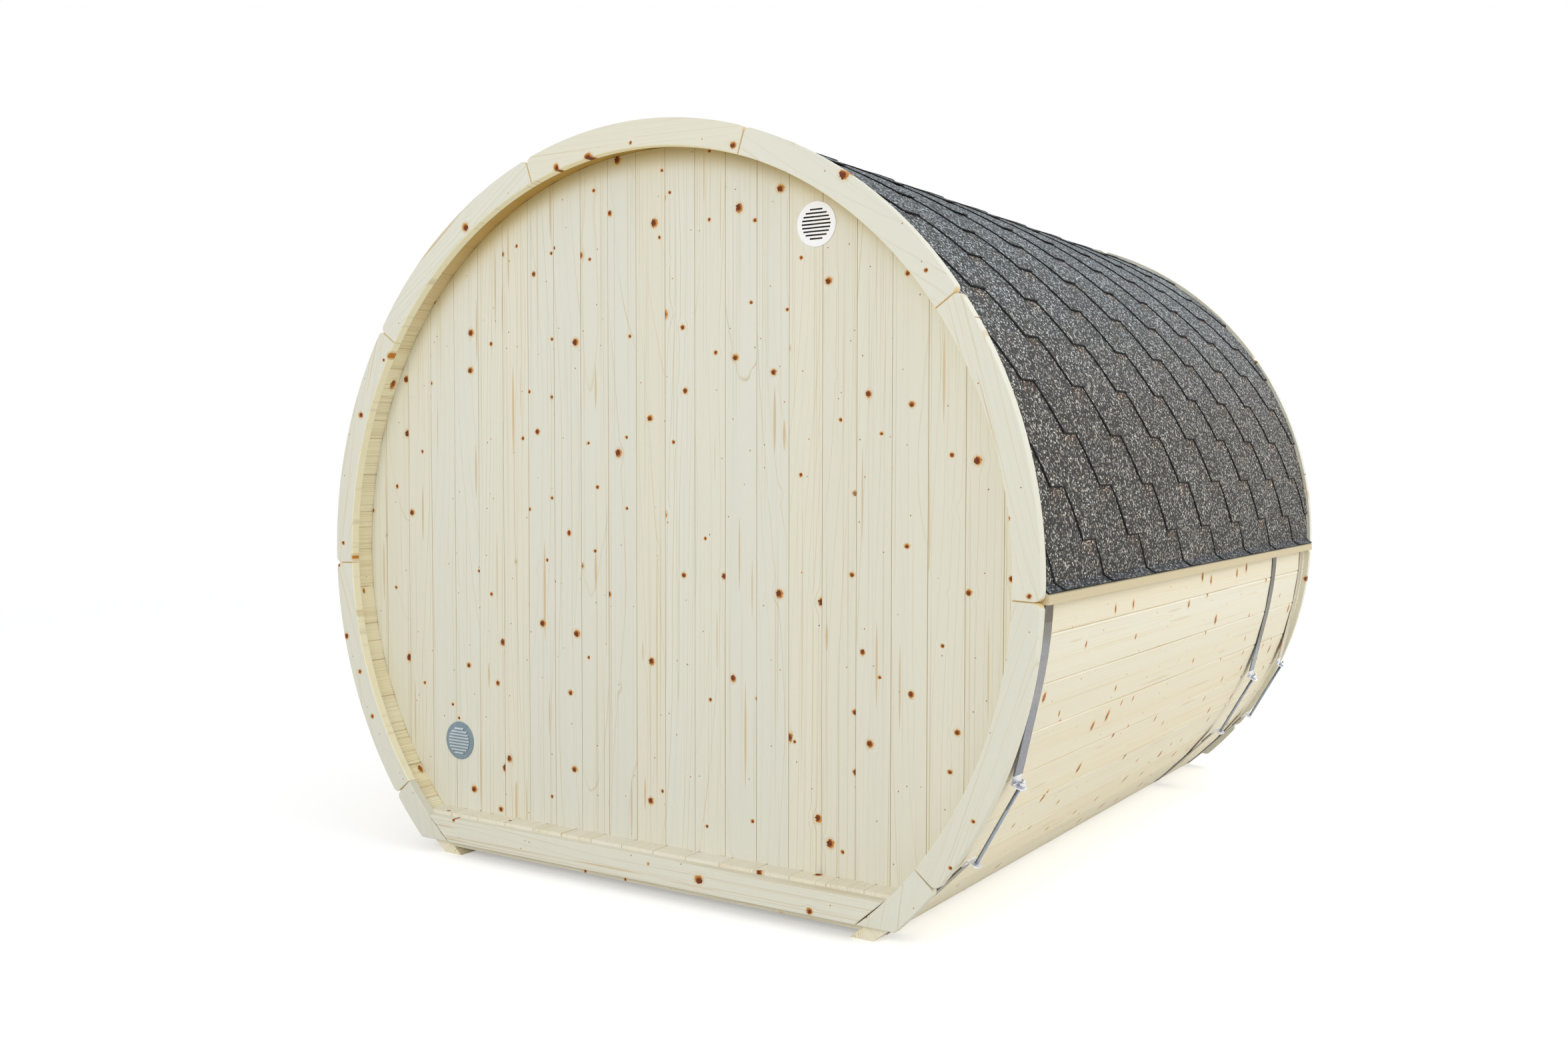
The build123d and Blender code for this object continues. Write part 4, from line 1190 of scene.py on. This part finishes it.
upper_vent_x, upper_vent_z = 0.5580, 1.8627
whites = (0.94, 0.95, 0.97, 1.0), (0.98, 0.98, 0.99, 1.0)
painted_duct_shade = (0.022, 0.017, 0.014, 1.0)
paint_greys = (0.16, 0.23, 0.27, 1.0), (0.27, 0.34, 0.39, 1.0)
painted_louvre_highlight_grey = (0.62, 0.68, 0.72, 1.0)

white_plastic = Finish("white_plastic")
white_grain = white_plastic.noise(white_plastic.place, 40.0, 3.0)
vent_x, vent_z = white_plastic.x - upper_vent_x, white_plastic.z - upper_vent_z
from_vent = white_plastic.math("SQRT", vent_x * vent_x + vent_z * vent_z)
# Painted shade: inside the duct, behind the grille's back face, the plastic is near black.
painted_duct_shade_mask = white_plastic.fade(from_vent, 0.052, 0.050)
painted_duct_shade_mask = painted_duct_shade_mask * white_plastic.fade(white_plastic.y, -1.25925, -1.2590)
white_shade = white_plastic.blend(white_grain, *whites)
white_plastic.set("Base Color", white_plastic.blend(painted_duct_shade_mask, white_shade, painted_duct_shade))
white_plastic.set("Roughness", 0.36 + 0.15 * white_grain)
white_plastic.bump(white_plastic.noise(white_plastic.place, 900.0, 1.0), 0.0001)
dress(white_plastic.material, "upper_vent")

grey_paint = Finish("grey_paint")
paint_grain = grey_paint.noise(grey_paint.place, 55.0, 4.0)
grey_shade = grey_paint.blend(paint_grain, *paint_greys)
# Painted highlight: the louvre blades that stand out from the plate are a lighter grey.
painted_louvre_highlight = grey_paint.fade(grey_paint.y, -1.2596, -1.2602)
grey_paint.set("Base Color", grey_paint.blend(painted_louvre_highlight, grey_shade, painted_louvre_highlight_grey))
grey_paint.set("Metallic", 0.35)
grey_paint.set("Roughness", 0.36 + 0.2 * paint_grain)
grey_paint.bump(grey_paint.noise(grey_paint.place, 1200.0, 1.0), 0.0001)
dress(grey_paint.material, "lower_vent")


# Studio
# A pale floor that fades into a white surround, one broad lamp on the right, others before and
# behind the barrel, and the camera at the photograph's place.

floor_reach = 14.0
fade_start = 5.0
fade_end = 11.0
floor_glow = 0.30
sky_strength = 0.64
bounce_grey = (0.70, 0.68, 0.62, 1.0)
sky_blue = (0.97, 0.985, 1.0, 1.0)
white = (1.0, 1.0, 1.0, 1.0)
direct_rays = "Is Camera Ray", "Is Glossy Ray", "Is Transmission Ray"

studio_floor_mesh = bpy.data.meshes.new("studio_floor")
floor_disc = bmesh.new()
bmesh.ops.create_circle(floor_disc, cap_ends=True, segments=96, radius=floor_reach)
floor_disc.to_mesh(studio_floor_mesh)
floor_disc.free()
studio_floor = bpy.data.objects.new("studio_floor", studio_floor_mesh)
bpy.context.scene.collection.objects.link(studio_floor)

paper = Finish("studio_paper")
paper_rays = paper.node("ShaderNodeLightPath")
paper_seen = 0.0
for ray in direct_rays:
    paper_seen = paper.math("MAXIMUM", paper_seen, paper_rays.outputs[ray])
paper.set("Base Color", paper.blend(paper_seen, bounce_grey, white))
paper.set("Emission Color", white)
paper.set("Emission Strength", paper_seen * floor_glow)
paper.set("Roughness", 0.9)
paper.set("Specular IOR Level", 0.0)
away = paper.math("SQRT", paper.x * paper.x + paper.y * paper.y)
clear = paper.node("ShaderNodeBsdfTransparent")
mixed = paper.node("ShaderNodeMixShader", {
    0: paper.fade(away, fade_start, fade_end),
    1: paper.surface.outputs[0],
    2: clear.outputs[0],
})
paper.join(mixed.outputs[0], paper.tree.nodes["Material Output"].inputs["Surface"])
studio_floor_mesh.materials.append(paper.material)

world = bpy.data.worlds.new("studio")
bpy.context.scene.world = world
world.use_nodes = True
sky = world.node_tree.nodes
sky_links = world.node_tree.links
rays = sky.new("ShaderNodeLightPath")
seen = rays.outputs[direct_rays[0]]
for ray in direct_rays[1:]:
    either = sky.new("ShaderNodeMath")
    either.operation = "MAXIMUM"
    sky_links.new(seen, either.inputs[0])
    sky_links.new(rays.outputs[ray], either.inputs[1])
    seen = either.outputs[0]
ambient = sky["Background"]
ambient.inputs["Color"].default_value = sky_blue
ambient.inputs["Strength"].default_value = sky_strength
surround = sky.new("ShaderNodeBackground")
surround.inputs["Color"].default_value = white
surround.inputs["Strength"].default_value = 1.0
choice = sky.new("ShaderNodeMixShader")
sky_links.new(seen, choice.inputs[0])
sky_links.new(ambient.outputs[0], choice.inputs[1])
sky_links.new(surround.outputs[0], choice.inputs[2])
sky_links.new(choice.outputs[0], sky["World Output"].inputs["Surface"])


def soft_lamp(name, place, target, width, power):
    """A broad square lamp that faces a target."""
    light = bpy.data.lights.new(name, "AREA")
    light.shape = "SQUARE"
    light.size = width
    light.energy = power
    lamp = bpy.data.objects.new(name, light)
    bpy.context.scene.collection.objects.link(lamp)
    lamp.location = place
    lamp.rotation_euler = (Vector(target) - Vector(place)).to_track_quat("-Z", "Y").to_euler()


soft_lamp("right_lamp", (7.5, 0.4, 4.4), (0.3, 0.0, 0.9), 5.0, 224.0)
soft_lamp("front_lamp", (0.2, -8.4, 3.6), (0.0, 0.0, 1.0), 4.0, 186.0)
soft_lamp("porch_lamp", (1.5, 8.0, 4.5), (0.0, 0.5, 1.0), 4.0, 200.0)

camera_place = (2.561, -4.500, 1.233)
camera_yaw, camera_pitch, camera_roll = 32.973, -2.401, 0.0999
camera_data = bpy.data.cameras.new("camera")
camera_data.sensor_width = 36.0
camera_data.lens = 32.87
camera = bpy.data.objects.new("camera", camera_data)
bpy.context.scene.collection.objects.link(camera)
camera.matrix_world = (
    Matrix.Translation(camera_place)
    @ Matrix.Rotation(math.radians(camera_yaw), 4, "Z")
    @ Matrix.Rotation(math.radians(90 + camera_pitch), 4, "X")
    @ Matrix.Rotation(math.radians(camera_roll), 4, "Z")
)
bpy.context.scene.camera = camera
bpy.context.scene.view_settings.view_transform = "Standard"
